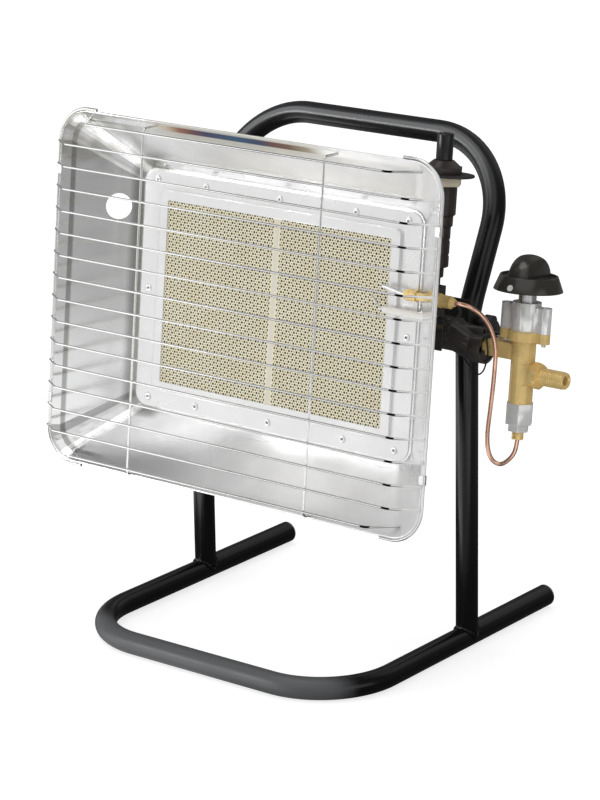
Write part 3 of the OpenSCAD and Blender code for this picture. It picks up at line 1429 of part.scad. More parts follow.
base_frame();
handle_frame();
end_caps();
pivot_bolts();
friction_washers();
clamp_washers();
bolt_caps();
clamp_knob_left();
clamp_knob_right();
head_bracket();
bracket_screws();
reflector();
grille_cross_wires();
grille_upright_wires();
grille_side_wires();
grille_clips();
burner_plate();
burner_rivets();
ceramic_plaque_left();
ceramic_plaque_right();
plaque_gasket();
burner_housing();
mixing_tube_upper();
mixing_tube_lower();
injector_bridge();
gas_injector();
valve_body();
inlet_nipple();
valve_bonnet();
bonnet_screws();
magnet_nut();
magnet_unit();
thermocouple_gland();
thermocouple_lead();
sensor_bracket();
thermocouple_sleeve();
thermocouple_nuts();
thermocouple_probe();
spark_electrode();
spark_insulator();
ignition_lead();
earth_wire();
earth_tag();
igniter_bracket();
igniter_barrel();
igniter_collar();
igniter_nut();
valve_plunger();
valve_stem();
gas_knob();
knob_marker();
igniter_button();
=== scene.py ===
"""Looks of the portable propane heater: finishes, fine detail, camera and studio."""
import math

import bmesh
import bpy
from mathutils import Matrix, Vector
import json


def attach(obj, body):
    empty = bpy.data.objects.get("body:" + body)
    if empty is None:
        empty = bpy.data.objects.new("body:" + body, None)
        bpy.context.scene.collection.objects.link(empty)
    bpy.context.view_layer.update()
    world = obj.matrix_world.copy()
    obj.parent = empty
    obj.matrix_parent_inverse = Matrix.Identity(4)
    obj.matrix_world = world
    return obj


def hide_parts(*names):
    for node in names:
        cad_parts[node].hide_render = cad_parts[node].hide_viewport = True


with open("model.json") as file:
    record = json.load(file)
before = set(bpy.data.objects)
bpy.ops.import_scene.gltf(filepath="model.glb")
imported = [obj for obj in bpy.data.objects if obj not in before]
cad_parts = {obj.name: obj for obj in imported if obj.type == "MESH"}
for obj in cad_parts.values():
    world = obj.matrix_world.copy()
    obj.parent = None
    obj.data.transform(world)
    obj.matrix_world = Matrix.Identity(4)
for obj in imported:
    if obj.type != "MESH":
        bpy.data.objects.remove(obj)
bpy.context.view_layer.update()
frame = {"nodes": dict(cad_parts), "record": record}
NODES = frame["nodes"]
MM = 0.001
X_AXIS = Vector((1, 0, 0))
Y_AXIS = Vector((0, 1, 0))
Z_AXIS = Vector((0, 0, 1))

# The head's own axes: x to the right, depth d behind the rim, height u above the tilt axis.
PIVOT_Z = 323 * MM
RIM_BACK = 147 * MM
LEAN = math.radians(6.8)
DEPTH = Vector((0, math.cos(LEAN), -math.sin(LEAN)))
UP = Vector((0, math.sin(LEAN), math.cos(LEAN)))
RIM = Vector((0, 0, PIVOT_Z)) - RIM_BACK * DEPTH
HEAD_TURN = Matrix((X_AXIS, DEPTH, UP)).transposed().to_4x4()
HEAD_FRAME = Matrix.Translation(RIM) @ HEAD_TURN @ Matrix.Scale(MM, 4)


def head(x, d, u):
    """A point of the head, given in millimetres on the head's own axes."""
    return RIM + x * MM * X_AXIS + d * MM * DEPTH + u * MM * UP


def head_matrix(x, d, u, z_axis):
    """Places a turned piece: its z runs along z_axis from that point of the head."""
    z = z_axis.normalized()
    side = X_AXIS if abs(z.x) < 0.9 else DEPTH
    y = z.cross(side).normalized()
    basis = Matrix((y.cross(z), y, z)).transposed().to_4x4()
    return Matrix.Translation(head(x, d, u)) @ basis


# ---- shader kit ----

COAT_ROUGHNESS = 0.1
BEVEL_SAMPLES = 4


class Shader:
    """One material with a Principled shader, and short calls for the nodes that feed it."""

    def __init__(self, name, color, roughness, metallic=0.0, specular=0.5, coat=0.0):
        self.material = bpy.data.materials.new(name)
        self.material.use_nodes = True
        self.material.diffuse_color = (*color, 1)
        self.tree = self.material.node_tree
        self.tree.nodes.clear()
        self.bsdf = self.new("BsdfPrincipled")
        self.tree.links.new(self.bsdf.outputs[0], self.new("OutputMaterial").inputs[0])
        self.set("Base Color", color)
        self.set("Roughness", roughness)
        self.set("Metallic", metallic)
        self.set("Specular IOR Level", specular)
        self.set("Coat Weight", coat)
        self.set("Coat Roughness", COAT_ROUGHNESS)
        coords = self.new("TexCoord")
        self.place, self.facing = coords.outputs["Object"], coords.outputs["Normal"]

    def new(self, kind, **settings):
        node = self.tree.nodes.new("ShaderNode" + kind)
        for key, value in settings.items():
            setattr(node, key, value)
        return node

    def feed(self, socket, value):
        if hasattr(value, "node"):
            self.tree.links.new(value, socket)
        elif socket.type == "RGBA":
            socket.default_value = (*value, 1)
        else:
            socket.default_value = value

    def set(self, name, value):
        self.feed(self.bsdf.inputs[name], value)

    def math(self, operation, a, b=0.0):
        node = self.new("Math", operation=operation)
        self.feed(node.inputs[0], a)
        self.feed(node.inputs[1], b)
        return node.outputs[0]

    def add(self, a, b):
        return self.math("ADD", a, b)

    def less(self, a, b):
        return self.math("SUBTRACT", a, b)

    def times(self, first, *others):
        for other in others:
            first = self.math("MULTIPLY", first, other)
        return first

    def size_of(self, value):
        return self.math("ABSOLUTE", value)

    def dot(self, vector, direction):
        node = self.new("VectorMath", operation="DOT_PRODUCT")
        self.feed(node.inputs[0], vector)
        node.inputs[1].default_value = direction
        return node.outputs["Value"]

    def span(self, value, low, high, out_low=0.0, out_high=1.0, ease="SMOOTHSTEP"):
        """Takes value from out_low at low to out_high at high, and holds it outside."""
        node = self.new("MapRange", interpolation_type=ease)
        limits = {"From Min": low, "From Max": high, "To Min": out_low, "To Max": out_high}
        for key, number in limits.items():
            node.inputs[key].default_value = number
        self.feed(node.inputs["Value"], value)
        return node.outputs["Result"]

    def band(self, value, low_out, low_in, high_in, high_out):
        """One between the inner limits, and nothing beyond the outer ones."""
        return self.times(self.span(value, low_out, low_in), self.span(value, high_out, high_in))

    def mix(self, factor, a, b):
        node = self.new("Mix", data_type="RGBA")
        self.feed(node.inputs["Factor"], factor)
        self.feed(node.inputs["A"], a)
        self.feed(node.inputs["B"], b)
        return node.outputs["Result"]

    def ramp(self, value, stops):
        node = self.new("ValToRGB")
        self.feed(node.inputs[0], value)
        steps = node.color_ramp.elements
        while len(steps) < len(stops):
            steps.new(0.5)
        for step, (place, color) in zip(steps, stops):
            step.position = place
            step.color = (*color, 1)
        return node.outputs[0]

    def noise(self, scale, detail=2.0, rough=0.5, stretch=(1, 1, 1)):
        mapping = self.new("Mapping")
        self.feed(mapping.inputs["Vector"], self.place)
        mapping.inputs["Scale"].default_value = stretch
        node = self.new("TexNoise")
        self.feed(node.inputs["Vector"], mapping.outputs[0])
        node.inputs["Scale"].default_value = scale
        node.inputs["Detail"].default_value = detail
        node.inputs["Roughness"].default_value = rough
        return node.outputs[0]

    def bump(self, height, strength, distance, chain=None):
        node = self.new("Bump")
        node.inputs["Strength"].default_value = strength
        node.inputs["Distance"].default_value = distance
        self.feed(node.inputs["Height"], height)
        if chain is not None:
            self.feed(node.inputs["Normal"], chain)
        return node.outputs[0]

    def soft_edges(self, radius):
        """A shading normal that rounds sharp edges over this radius."""
        node = self.new("Bevel", samples=BEVEL_SAMPLES)
        node.inputs["Radius"].default_value = radius
        return node.outputs[0]

    def head_axes(self):
        """Distances along the head's axes, in metres: x, depth behind the rim, height."""
        x = self.dot(self.place, X_AXIS)
        d = self.less(self.dot(self.place, DEPTH), RIM.dot(DEPTH))
        u = self.less(self.dot(self.place, UP), RIM.dot(UP))
        return x, d, u


# ---- finishes ----
# A pair of limits says where an effect starts and where it is full: in metres on the part, or,
# for a facing, as the cosine between the surface and a direction.

GLOSS_BLACK = (0.004, 0.004, 0.005)
# Painted sheen: the lighter grey of the rubbed front bar
PAINTED_SHEEN_GREY = (0.13, 0.135, 0.14)
# Painted sheen and a painted highlight stripe on the handle
HANDLE_SHEEN_BLACK = (0.02, 0.021, 0.023)
HANDLE_PAINTED_HIGHLIGHT = (0.26, 0.265, 0.27)
FRONT_BAR_Y = (-0.168, -0.196)
FRONT_BAR_Z = (0.04, 0.024)
FRONT_BAR_X = (0.168, 0.16)
HANDLE_Z = (0.42, 0.48)
HANDLE_FRONT = (0, -0.9, 0.44)
HANDLE_FRONT_FACING = (0.94, 0.992)


def painted_tube():
    """Stoved gloss black with faint orange peel. The front bar is rubbed and rougher, and its
    colour is lighter grey as a painted sheen. The handle has a painted sheen and a painted
    highlight stripe.
    """
    s = Shader("frame_paint", GLOSS_BLACK, 0.2, specular=0.45)
    peel = s.noise(130, detail=2, rough=0.4)
    dust = s.noise(35, detail=4, rough=0.6)
    x, y, z = (s.dot(s.place, axis) for axis in (X_AXIS, Y_AXIS, Z_AXIS))
    wear_and_sheen = s.times(s.span(y, *FRONT_BAR_Y), s.span(z, *FRONT_BAR_Z), s.span(x, *FRONT_BAR_X))
    on_handle = s.span(z, *HANDLE_Z)
    painted_highlight = s.times(s.span(s.dot(s.facing, HANDLE_FRONT), *HANDLE_FRONT_FACING), on_handle)
    skin = s.add(s.span(dust, 0.3, 0.75, 0.17, 0.24), s.times(on_handle, 0.06))
    rubbed = s.span(dust, 0.3, 0.75, 0.4, 0.48)
    s.set("Roughness", s.mix(wear_and_sheen, skin, rubbed))
    # Painted sheen: the colour goes lighter grey on the front bar, and a little lighter on the
    # handle
    paint = s.mix(s.times(wear_and_sheen, 0.7), GLOSS_BLACK, PAINTED_SHEEN_GREY)
    paint = s.mix(s.times(on_handle, 0.5), paint, HANDLE_SHEEN_BLACK)
    # Painted highlight: a light stripe where the handle faces up and forward
    s.set("Base Color", s.mix(s.times(painted_highlight, 0.7), paint, HANDLE_PAINTED_HIGHLIGHT))
    s.set("Normal", s.bump(peel, 0.02, 0.4 * MM))
    return s


def tinted(color, share):
    return tuple(share * c for c in color)


def satin_black(name, color=(0.02, 0.019, 0.018), roughness=0.38):
    s = Shader(name, color, roughness, specular=0.45)
    grain = s.noise(900, detail=3, rough=0.6)
    cloud = s.noise(45, detail=4, rough=0.6)
    s.set("Base Color", s.mix(s.span(cloud, 0.3, 0.7), color, tinted(color, 1.5)))
    s.set("Roughness", s.span(cloud, 0.25, 0.75, roughness - 0.07, roughness + 0.08))
    s.set("Normal", s.bump(grain, 0.12, 0.2 * MM, s.soft_edges(0.5 * MM)))
    return s


def bright_metal(name, color, roughness, brush=(1, 1, 1)):
    """Plated or polished metal with faint rubbing, which brush can draw out along an axis."""
    s = Shader(name, color, roughness, metallic=1.0)
    rub = s.noise(240, detail=4, rough=0.6, stretch=brush)
    cloud = s.noise(22, detail=3, rough=0.5)
    haze = s.span(cloud, 0.3, 0.7, roughness * 0.75, roughness * 1.3)
    s.set("Roughness", s.add(haze, s.times(rub, 0.05)))
    s.set("Base Color", s.mix(s.span(rub, 0.35, 0.7), color, tinted(color, 0.86)))
    s.set("Normal", s.bump(rub, 0.04, 0.2 * MM, s.soft_edges(0.4 * MM)))
    return s


# The valve's fittings share the slot of the grille's wires and lie to the right of them.
FITTING_X = (0.21, 0.22)
CHROME_LIGHT, CHROME_DARK = (0.98, 0.98, 0.97), (0.9, 0.9, 0.89)
CHROME_REFLECTION_GREY = (0.35, 0.35, 0.36)
WIRE_SHADE = (0.1, 0.1, 0.105)
BEND_REFLECTION_BLACK = (0.004, 0.004, 0.004)
GREY_X = (-0.02, 0.05)
SHADE_X = (-0.1, 0.06)
UNDERSIDE_FACING = (-0.1, -0.5)
CREST_FACING = (0.8, 0.98)
BEND_X = 0.203
SHORT_BEND_IN = 0.0225
SHORT_WIRE_U = (0.15, 0.151)
BEND_HALF = (0.0046, 0.0036)
WIRE_FRONT_D = (-0.012, -0.014)


def plated_wire():
    """Chrome on the grille, and a softer nickel skin on the valve's fittings. On the grille the
    colour holds painted shade on the wires' undersides, painted dark reflection lines on their
    tops, a painted greyer reflection on the right half, and painted dark reflections at the
    right-hand bends.
    """
    s = Shader("wire_chrome", (0.88, 0.88, 0.88), 0.08, metallic=1.0)
    x, d, u = s.head_axes()
    fitting = s.span(x, *FITTING_X)
    grille = s.less(1.0, fitting)
    rub = s.noise(240, detail=4, rough=0.6)
    cloud = s.noise(60, detail=3, rough=0.5)
    s.set("Metallic", s.less(1.0, s.times(fitting, 0.62)))
    s.set("Roughness", s.add(s.span(cloud, 0.3, 0.7, 0.07, 0.11), s.times(fitting, 0.08)))

    # Painted shade under each wire and a painted dark reflection line along its top, stronger to
    # the right
    upward = s.dot(s.facing, UP)
    crest = s.times(s.span(upward, *CREST_FACING), 0.7)
    edges = s.math("MAXIMUM", s.span(upward, *UNDERSIDE_FACING), crest)
    shade = s.times(edges, grille, s.span(x, *SHADE_X, 0.35, 1.0))
    # Painted dark reflections: black spots where the right-hand wires bend back
    short_wire = s.span(s.size_of(u), *SHORT_WIRE_U)
    from_bend = s.less(x, s.less(BEND_X, s.times(short_wire, SHORT_BEND_IN)))
    bend_reflection = s.times(s.span(s.size_of(from_bend), *BEND_HALF), s.span(d, *WIRE_FRONT_D))

    chrome = s.mix(s.span(rub, 0.35, 0.7), CHROME_LIGHT, CHROME_DARK)
    # Painted reflection: the chrome goes greyer on the right half of the grille
    chrome = s.mix(s.times(grille, s.span(x, *GREY_X), 0.2), chrome, CHROME_REFLECTION_GREY)
    dark = s.mix(bend_reflection, WIRE_SHADE, BEND_REFLECTION_BLACK)
    s.set("Base Color", s.mix(s.math("MAXIMUM", shade, bend_reflection), chrome, dark))
    s.set("Normal", s.bump(rub, 0.03, 0.2 * MM, s.soft_edges(0.2 * MM)))
    return s


DISH_COLOR = (0.83, 0.83, 0.83)
DISH_LIGHT, DISH_DARK = (0.88, 0.88, 0.885), (0.74, 0.74, 0.745)
STAIN_GREY = (0.55, 0.56, 0.56)
PAINTED_SHADE_GREY = (0.26, 0.26, 0.24)
CORNER_OLIVE = (0.3, 0.29, 0.24)
STRAW = (0.44, 0.42, 0.34)
# Straw, brown, purple, blue and back again, across the heated middle of the lip.
HEAT_TINT = ((0.0, DISH_COLOR), (0.12, (0.6, 0.52, 0.4)), (0.2, (0.3, 0.13, 0.07)),
             (0.27, (0.13, 0.04, 0.05)), (0.34, (0.025, 0.03, 0.1)), (0.5, (0.02, 0.08, 0.17)),
             (0.64, (0.02, 0.035, 0.1)), (0.72, (0.12, 0.035, 0.03)), (0.8, (0.14, 0.07, 0.035)),
             (0.9, (0.3, 0.26, 0.19)), (1.0, DISH_COLOR))
TINT_X = -0.016
TINT_HALF = 0.11
TINT_WOBBLE = 0.014
LIP_U = (0.16, 0.164)
LIP_D = (0.002, 0.0032, 0.0078, 0.009)
STRAW_U = (0.14, 0.15)
STRAW_HALF = (0.16, 0.06)
STRAW_D = (0.019, 0.012)
LEFT_WALL_X = (-0.165, -0.19)
LIP_SHADE_D = (0.0065, 0.0075, 0.0095, 0.0115)
LIP_SHADE_X = (-0.15, -0.19)
PLATE_SHADE_D = (0.049, 0.056)
PLATE_SHADE_X = (-0.13, -0.146)
CORNER_U = (0.1, 0.145)
CORNER_X = (-0.12, -0.18)
TOP_WALL_U = (0.125, 0.15)
TOP_WALL_X = (-0.16, -0.1)
BOTTOM_WALL_U = (-0.11, -0.14)
BOTTOM_WALL_X = (-0.12, 0.07)


def dish_metal():
    """Polished reflector sheet: heat tint in the middle of the top lip, stains, olive patches
    towards the top-left corner, and painted shade inside the lip and by the burner plate on the
    left.
    """
    s = Shader("dish", DISH_COLOR, 0.17, metallic=1.0)
    x, d, u = s.head_axes()
    cloud = s.noise(11, detail=3, rough=0.55)
    base = s.mix(s.span(cloud, 0.35, 0.7), DISH_LIGHT, DISH_DARK)

    stain = s.span(s.noise(7, detail=2, rough=0.5, stretch=(0.3, 1, 2.2)), 0.4, 0.62)
    base = s.mix(s.times(s.span(x, *LEFT_WALL_X), stain, 0.3), base, STAIN_GREY)
    # Painted shade: a dark band inside the lip and along the burner plate on the left wall
    lip_shade = s.times(s.band(d, *LIP_SHADE_D), s.span(x, *LIP_SHADE_X))
    plate_shade = s.times(s.span(d, *PLATE_SHADE_D), s.span(x, *PLATE_SHADE_X))
    base = s.mix(s.times(s.math("MAXIMUM", lip_shade, plate_shade), 0.75), base, PAINTED_SHADE_GREY)
    corner = s.times(s.span(u, *CORNER_U), s.span(x, *CORNER_X))
    patches = s.span(s.noise(24), 0.42, 0.6, 0, 0.7)
    base = s.mix(s.times(corner, patches), base, CORNER_OLIVE)

    wobble = s.times(s.less(s.noise(40), 0.5), TINT_WOBBLE)
    from_middle = s.add(s.less(x, TINT_X), wobble)
    straw = s.times(s.span(u, *STRAW_U), s.span(s.size_of(from_middle), *STRAW_HALF),
                    s.span(d, *STRAW_D))
    base = s.mix(s.times(straw, 0.6), base, STRAW)
    tint = s.ramp(s.span(from_middle, -TINT_HALF, TINT_HALF, ease="LINEAR"), HEAT_TINT)
    lip = s.times(s.span(u, *LIP_U), s.band(d, *LIP_D))
    s.set("Base Color", s.mix(lip, base, tint))

    top = s.times(s.span(u, *TOP_WALL_U), s.span(x, *TOP_WALL_X))
    bottom = s.times(s.span(u, *BOTTOM_WALL_U), s.span(x, *BOTTOM_WALL_X))
    dull = s.add(s.times(top, 0.52), s.times(bottom, 0.5))
    s.set("Metallic", s.less(1.0, dull))
    s.set("Roughness", s.add(s.span(cloud, 0.3, 0.7, 0.13, 0.2), s.times(dull, 0.5)))
    dents = s.noise(14, detail=2, rough=0.4)
    s.set("Normal", s.bump(dents, 0.1, 2 * MM))
    return s


def burner_sheet():
    s = Shader("burner_sheet", (0.96, 0.96, 0.96), 0.3, metallic=0.62)
    rub = s.noise(160, detail=3, rough=0.6, stretch=(0.15, 1, 1))
    cloud = s.noise(14, detail=3, rough=0.5)
    s.set("Roughness", s.span(cloud, 0.3, 0.7, 0.25, 0.35))
    s.set("Base Color", s.mix(s.span(cloud, 0.3, 0.75), (0.99, 0.99, 0.99), (0.92, 0.92, 0.92)))
    s.set("Normal", s.bump(rub, 0.05, 0.3 * MM, s.soft_edges(1.2 * MM)))
    return s


HOLE_PITCH = 3.047 * MM
ROW_PITCH = HOLE_PITCH * math.sqrt(3) / 2
WIDE_HOLE_R = 1.16 * MM
HOLE_R_STEP = 0.27 * MM
HOLE_KINDS = 3.0
HOLE_RIM = (0.12 * MM, -0.18 * MM)
MIDDLE_RIB_X = (4.0 * MM, 4.3 * MM)
PLAQUE_FACE_D = (59.2 * MM, 58.8 * MM)
CLAY_LIGHT, CLAY_DARK = (0.98, 0.92, 0.72), (0.94, 0.86, 0.63)
HOLE_SHADE_DARK, HOLE_SHADE_BROWN = (0.012, 0.008, 0.004), (0.12, 0.08, 0.045)


def perforated_ceramic():
    """Cream clay with rows of burner holes, wide and narrow, on a triangular grid. The holes are
    painted shade with a bump, dark in the wide ones and browner in the narrow ones.
    """
    s = Shader("ceramic", (0.84, 0.74, 0.5), 0.85, specular=0.2)
    x, d, u = s.head_axes()
    row = s.math("ROUND", s.math("DIVIDE", u, ROW_PITCH))
    across = s.less(s.math("DIVIDE", x, HOLE_PITCH), s.times(row, 0.5))
    column = s.math("ROUND", across)
    dx = s.times(s.less(across, column), HOLE_PITCH)
    du = s.less(u, s.times(row, ROW_PITCH))
    from_hole = s.math("SQRT", s.add(s.times(dx, dx), s.times(du, du)))
    kind = s.math("FLOORED_MODULO", s.less(column, row), HOLE_KINDS)
    radius = s.less(WIDE_HOLE_R, s.times(kind, HOLE_R_STEP))
    inside = s.span(s.less(from_hole, radius), *HOLE_RIM)
    off_rib = s.span(s.size_of(x), *MIDDLE_RIB_X)
    hole = s.times(inside, off_rib, s.span(d, *PLAQUE_FACE_D))
    clay = s.mix(s.span(s.noise(55, detail=4, rough=0.6), 0.3, 0.7), CLAY_LIGHT, CLAY_DARK)
    # Painted shade inside the holes, browner in the narrower ones
    dark = s.mix(s.times(kind, 0.35), HOLE_SHADE_DARK, HOLE_SHADE_BROWN)
    s.set("Base Color", s.mix(hole, clay, dark))
    grain = s.bump(s.noise(1500), 0.2, 0.2 * MM)
    s.set("Normal", s.bump(s.less(1.0, inside), 0.6, 0.6 * MM, grain))
    return s


def fibre_board():
    s = Shader("gasket", (0.88, 0.84, 0.74), 0.9, specular=0.2)
    s.set("Normal", s.bump(s.noise(900, detail=4, rough=0.7), 0.4, 0.3 * MM))
    s.set("Base Color", s.mix(s.noise(300, detail=3), (0.9, 0.86, 0.77), (0.83, 0.78, 0.67)))
    return s


def brass(name, color, roughness, cast, metallic=0.85):
    """Brass or copper. Cast is the strength of its skin."""
    s = Shader(name, color, roughness, metallic=metallic)
    skin = s.noise(1300, detail=3, rough=0.65)
    cloud = s.noise(70, detail=3, rough=0.55)
    s.set("Base Color", s.mix(s.span(cloud, 0.3, 0.72), color, tinted(color, 0.82)))
    s.set("Roughness", s.span(cloud, 0.3, 0.7, roughness - 0.06, roughness + 0.08))
    s.set("Normal", s.bump(skin, cast, 0.2 * MM, s.soft_edges(0.5 * MM)))
    return s


def porcelain():
    s = Shader("porcelain", (0.9, 0.89, 0.85), 0.2, coat=0.5)
    s.set("Base Color", s.mix(s.noise(120, detail=3), (0.92, 0.91, 0.87), (0.86, 0.84, 0.79)))
    return s


def moulded(name, color, roughness, grain=0.1):
    s = Shader(name, color, roughness)
    fine = s.noise(1600, detail=2, rough=0.5)
    cloud = s.noise(50, detail=3, rough=0.5)
    s.set("Base Color", s.mix(s.span(cloud, 0.3, 0.7), color, tinted(color, 0.85)))
    s.set("Roughness", s.span(cloud, 0.3, 0.7, roughness * 0.85, roughness * 1.15))
    s.set("Normal", s.bump(fine, grain, 0.1 * MM, s.soft_edges(0.8 * MM)))
    return s


FINISHES = {
    "frame_paint": painted_tube(),
    "cap_metal": bright_metal("cap_metal", (0.82, 0.76, 0.6), 0.3),
    "zinc": bright_metal("zinc", (0.8, 0.8, 0.81), 0.22),
    "knob_black": moulded("knob_black", (0.025, 0.025, 0.027), 0.42),
    "dish": dish_metal(),
    "wire_chrome": plated_wire(),
    "burner_sheet": burner_sheet(),
    "ceramic": perforated_ceramic(),
    "gasket": fibre_board(),
    "housing_sheet": bright_metal("housing_sheet", (0.7, 0.7, 0.71), 0.34, brush=(0.2, 1, 1)),
    "duct_enamel": satin_black("duct_enamel", (0.046, 0.04, 0.039), 0.27),
    "brass": brass("brass", (1.0, 0.73, 0.29), 0.22, cast=0.1, metallic=0.22),
    "copper": brass("copper", (1.0, 0.6, 0.44), 0.22, cast=0.06),
    "steel": bright_metal("steel", (0.62, 0.62, 0.63), 0.3),
    "bracket_black": satin_black("bracket_black"),
    "porcelain": porcelain(),
    "lead_black": moulded("lead_black", (0.02, 0.02, 0.02), 0.55),
    "dark_plastic": moulded("dark_plastic", (0.035, 0.027, 0.023), 0.33, grain=0.06),
    "cream_plastic": moulded("cream_plastic", (0.78, 0.7, 0.52), 0.45),
    "knob_gloss": moulded("knob_gloss", (0.042, 0.039, 0.033), 0.18, grain=0.03),
    "white_print": moulded("white_print", (0.85, 0.85, 0.84), 0.4),
    "button_black": moulded("button_black", (0.012, 0.012, 0.013), 0.25, grain=0.03),
}


def dress_nodes():
    for node, slot in SLOT_OF.items():
        NODES[node].data.materials.clear()
        NODES[node].data.materials.append(FINISHES[slot].material)


# ---- pieces ----

BODIES = frame["record"]["behaviour"]["bodies"]
BODY_OF = {node: body for body, nodes in BODIES.items() for node in nodes}
SLOT_OF = {entry["node"]: entry["material_slot"] for entry in frame["record"]["subparts"]}
SHARP = math.radians(38)
NEARLY_FLAT = math.radians(0.5)
SAME_POINT = 0.004 * MM
SLIVER_MM = 0.002
BEVEL_SEGMENTS = 2


def object_of(name, build):
    """Makes an object of a built mesh, and frees the build."""
    mesh = bpy.data.meshes.new(name)
    build.to_mesh(mesh)
    build.free()
    made = bpy.data.objects.new(name, mesh)
    bpy.context.scene.collection.objects.link(made)
    return made


def finish_piece(name, build, node, extra_nodes=(), replace=True):
    """Makes the piece, which takes the body, the slot and the finish of that node."""
    bmesh.ops.recalc_face_normals(build, faces=build.faces)
    for face in build.faces:
        face.smooth = True
    for edge in build.edges:
        if len(edge.link_faces) == 2 and edge.calc_face_angle(0) > SHARP:
            edge.smooth = False
    piece = object_of(name, build)
    piece.data.materials.append(FINISHES[SLOT_OF[node]].material)
    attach(piece, BODY_OF[node])
    if replace:
        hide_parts(node, *extra_nodes)


def add_rings(build, rings, closed=False):
    """Joins rings of points with faces, and caps the ends. A closed run meets its own start."""
    made = [[build.verts.new(point) for point in ring] for ring in rings]
    pairs = list(zip(made, made[1:]))
    if closed:
        pairs.append((made[-1], made[0]))
    for low, high in pairs:
        for k in range(len(low)):
            n = (k + 1) % len(low)
            build.faces.new((low[k], low[n], high[n], high[k]))
    if not closed:
        build.faces.new(list(reversed(made[0])))
        build.faces.new(made[-1])


def turned(build, rows, sides, place, closed=False):
    """A turned solid. A row is a height and a radius in millimetres, or a radius by angle."""
    rings = []
    for height, radius in rows:
        ring = []
        for k in range(sides):
            angle = 2 * math.pi * k / sides
            r = radius(angle) if callable(radius) else radius
            ring.append(place @ (MM * Vector((r * math.cos(angle), r * math.sin(angle), height))))
        rings.append(ring)
    add_rings(build, rings, closed)


def add_bevel(draft, width):
    bevel = draft.modifiers.new("bevel", "BEVEL")
    bevel.width = width
    bevel.segments = BEVEL_SEGMENTS
    bevel.limit_method = "ANGLE"
    bevel.angle_limit = SHARP


def add_boolean(draft, how, tool):
    change = draft.modifiers.new(how, "BOOLEAN")
    change.operation = how
    change.object = tool
    change.solver = "EXACT"


def shape_of(draft, *tools):
    """The draft's mesh after its modifiers. The draft and its tools go."""
    build = bmesh.new()
    build.from_mesh(draft.evaluated_get(bpy.context.evaluated_depsgraph_get()).to_mesh())
    for used in (draft, *tools):
        bpy.data.objects.remove(used)
    return build


# Width in millimetres over which the sharp edges of a node are rounded
ROUNDED_EDGES = {
    "magnet_nut": 0.7, "igniter_collar": 0.9, "igniter_nut": 0.8, "igniter_bracket": 0.5,
    "mixing_tube_upper": 0.9, "mixing_tube_lower": 0.9, "injector_bridge": 0.3,
    "clamp_knob_left": 0.9, "clamp_knob_right": 0.9, "igniter_button": 1.3, "head_bracket": 0.6,
    "sensor_bracket": 0.4, "thermocouple_nuts": 0.5, "thermocouple_gland": 0.3,
    "spark_insulator": 0.4, "end_caps": 0.5,
}


def rounded(node, width):
    """The node's own shape with rounded edges."""
    build = bmesh.new()
    build.from_mesh(NODES[node].data)
    bmesh.ops.remove_doubles(build, verts=build.verts, dist=SAME_POINT)
    bmesh.ops.dissolve_limit(build, angle_limit=NEARLY_FLAT, verts=build.verts, edges=build.edges)
    draft = object_of(node + "_draft", build)
    add_bevel(draft, width * MM)
    build = shape_of(draft)
    bmesh.ops.dissolve_degenerate(build, edges=build.edges, dist=SLIVER_MM * MM)
    finish_piece(node + "_shaped", build, node)


# Solids that are joined and cut. Their drafts are in millimetres on the head's own axes.
SIDES = 64
FROM_METRES = Matrix.Scale(1 / MM, 4)
Z_TO_X = Matrix.Rotation(math.radians(90), 4, "Y")
PAST = 2


def upright_at(x, d, u):
    """Places a turned draft along the head's height."""
    return Matrix.Translation((x, d, u)) @ FROM_METRES


def sideways_at(x, d, u):
    """Places a turned draft along x."""
    return Matrix.Translation((x, d, u)) @ Z_TO_X @ FROM_METRES


def rod(x, d, low, high, radius, top_radius=None):
    build = bmesh.new()
    rows = [(0, radius), (high - low, top_radius or radius)]
    turned(build, rows, SIDES, upright_at(x, d, low))
    return build


def cross_rod(low, high, d, u, radius):
    build = bmesh.new()
    turned(build, [(0, radius), (high - low, radius)], SIDES, sideways_at(low, d, u))
    return build


def block(x_ends, d_ends, u_ends):
    (left, right), (near, far) = x_ends, d_ends
    corners = ((left, near), (right, near), (right, far), (left, far))
    build = bmesh.new()
    add_rings(build, [[Vector((x, d, u)) for x, d in corners] for u in u_ends])
    return build


def draft_of(name, build):
    bmesh.ops.recalc_face_normals(build, faces=build.faces)
    return object_of(name, build)


def carved(name, node, steps, width):
    """Joins and cuts solids in turn, then rounds the sharp edges over this width."""
    drafts = [draft_of(f"{name}_draft_{k}", build) for k, (how, build) in enumerate(steps)]
    for (how, build), draft in zip(steps[1:], drafts[1:]):
        add_boolean(drafts[0], how, draft)
    add_bevel(drafts[0], width)
    build = shape_of(*drafts)
    bmesh.ops.dissolve_degenerate(build, edges=build.edges, dist=SLIVER_MM)
    bmesh.ops.transform(build, matrix=HEAD_FRAME, verts=build.verts)
    finish_piece(name, build, node)


# Inlet nipple
VALVE_X = 256
GAS_DEPTH = 110
INLET_U = -23
INLET_X = 269
INLET_HEX = 8
INLET_AF = 22
HEX_CHAMFER = 0.9
HEX_CORNER_BACK = 1
HEX_CORNER_FRONT = 1.2
THREAD_END = 305
THREAD_R = 8.33
THREAD_PITCH = 2.0
THREAD_DEEP = 0.55
THREAD_NECK = 1.5
THREAD_TIP = 2
THREAD_STEPS = 8
THREAD_SIDES = 72
INLET_BORE_R = 4.5


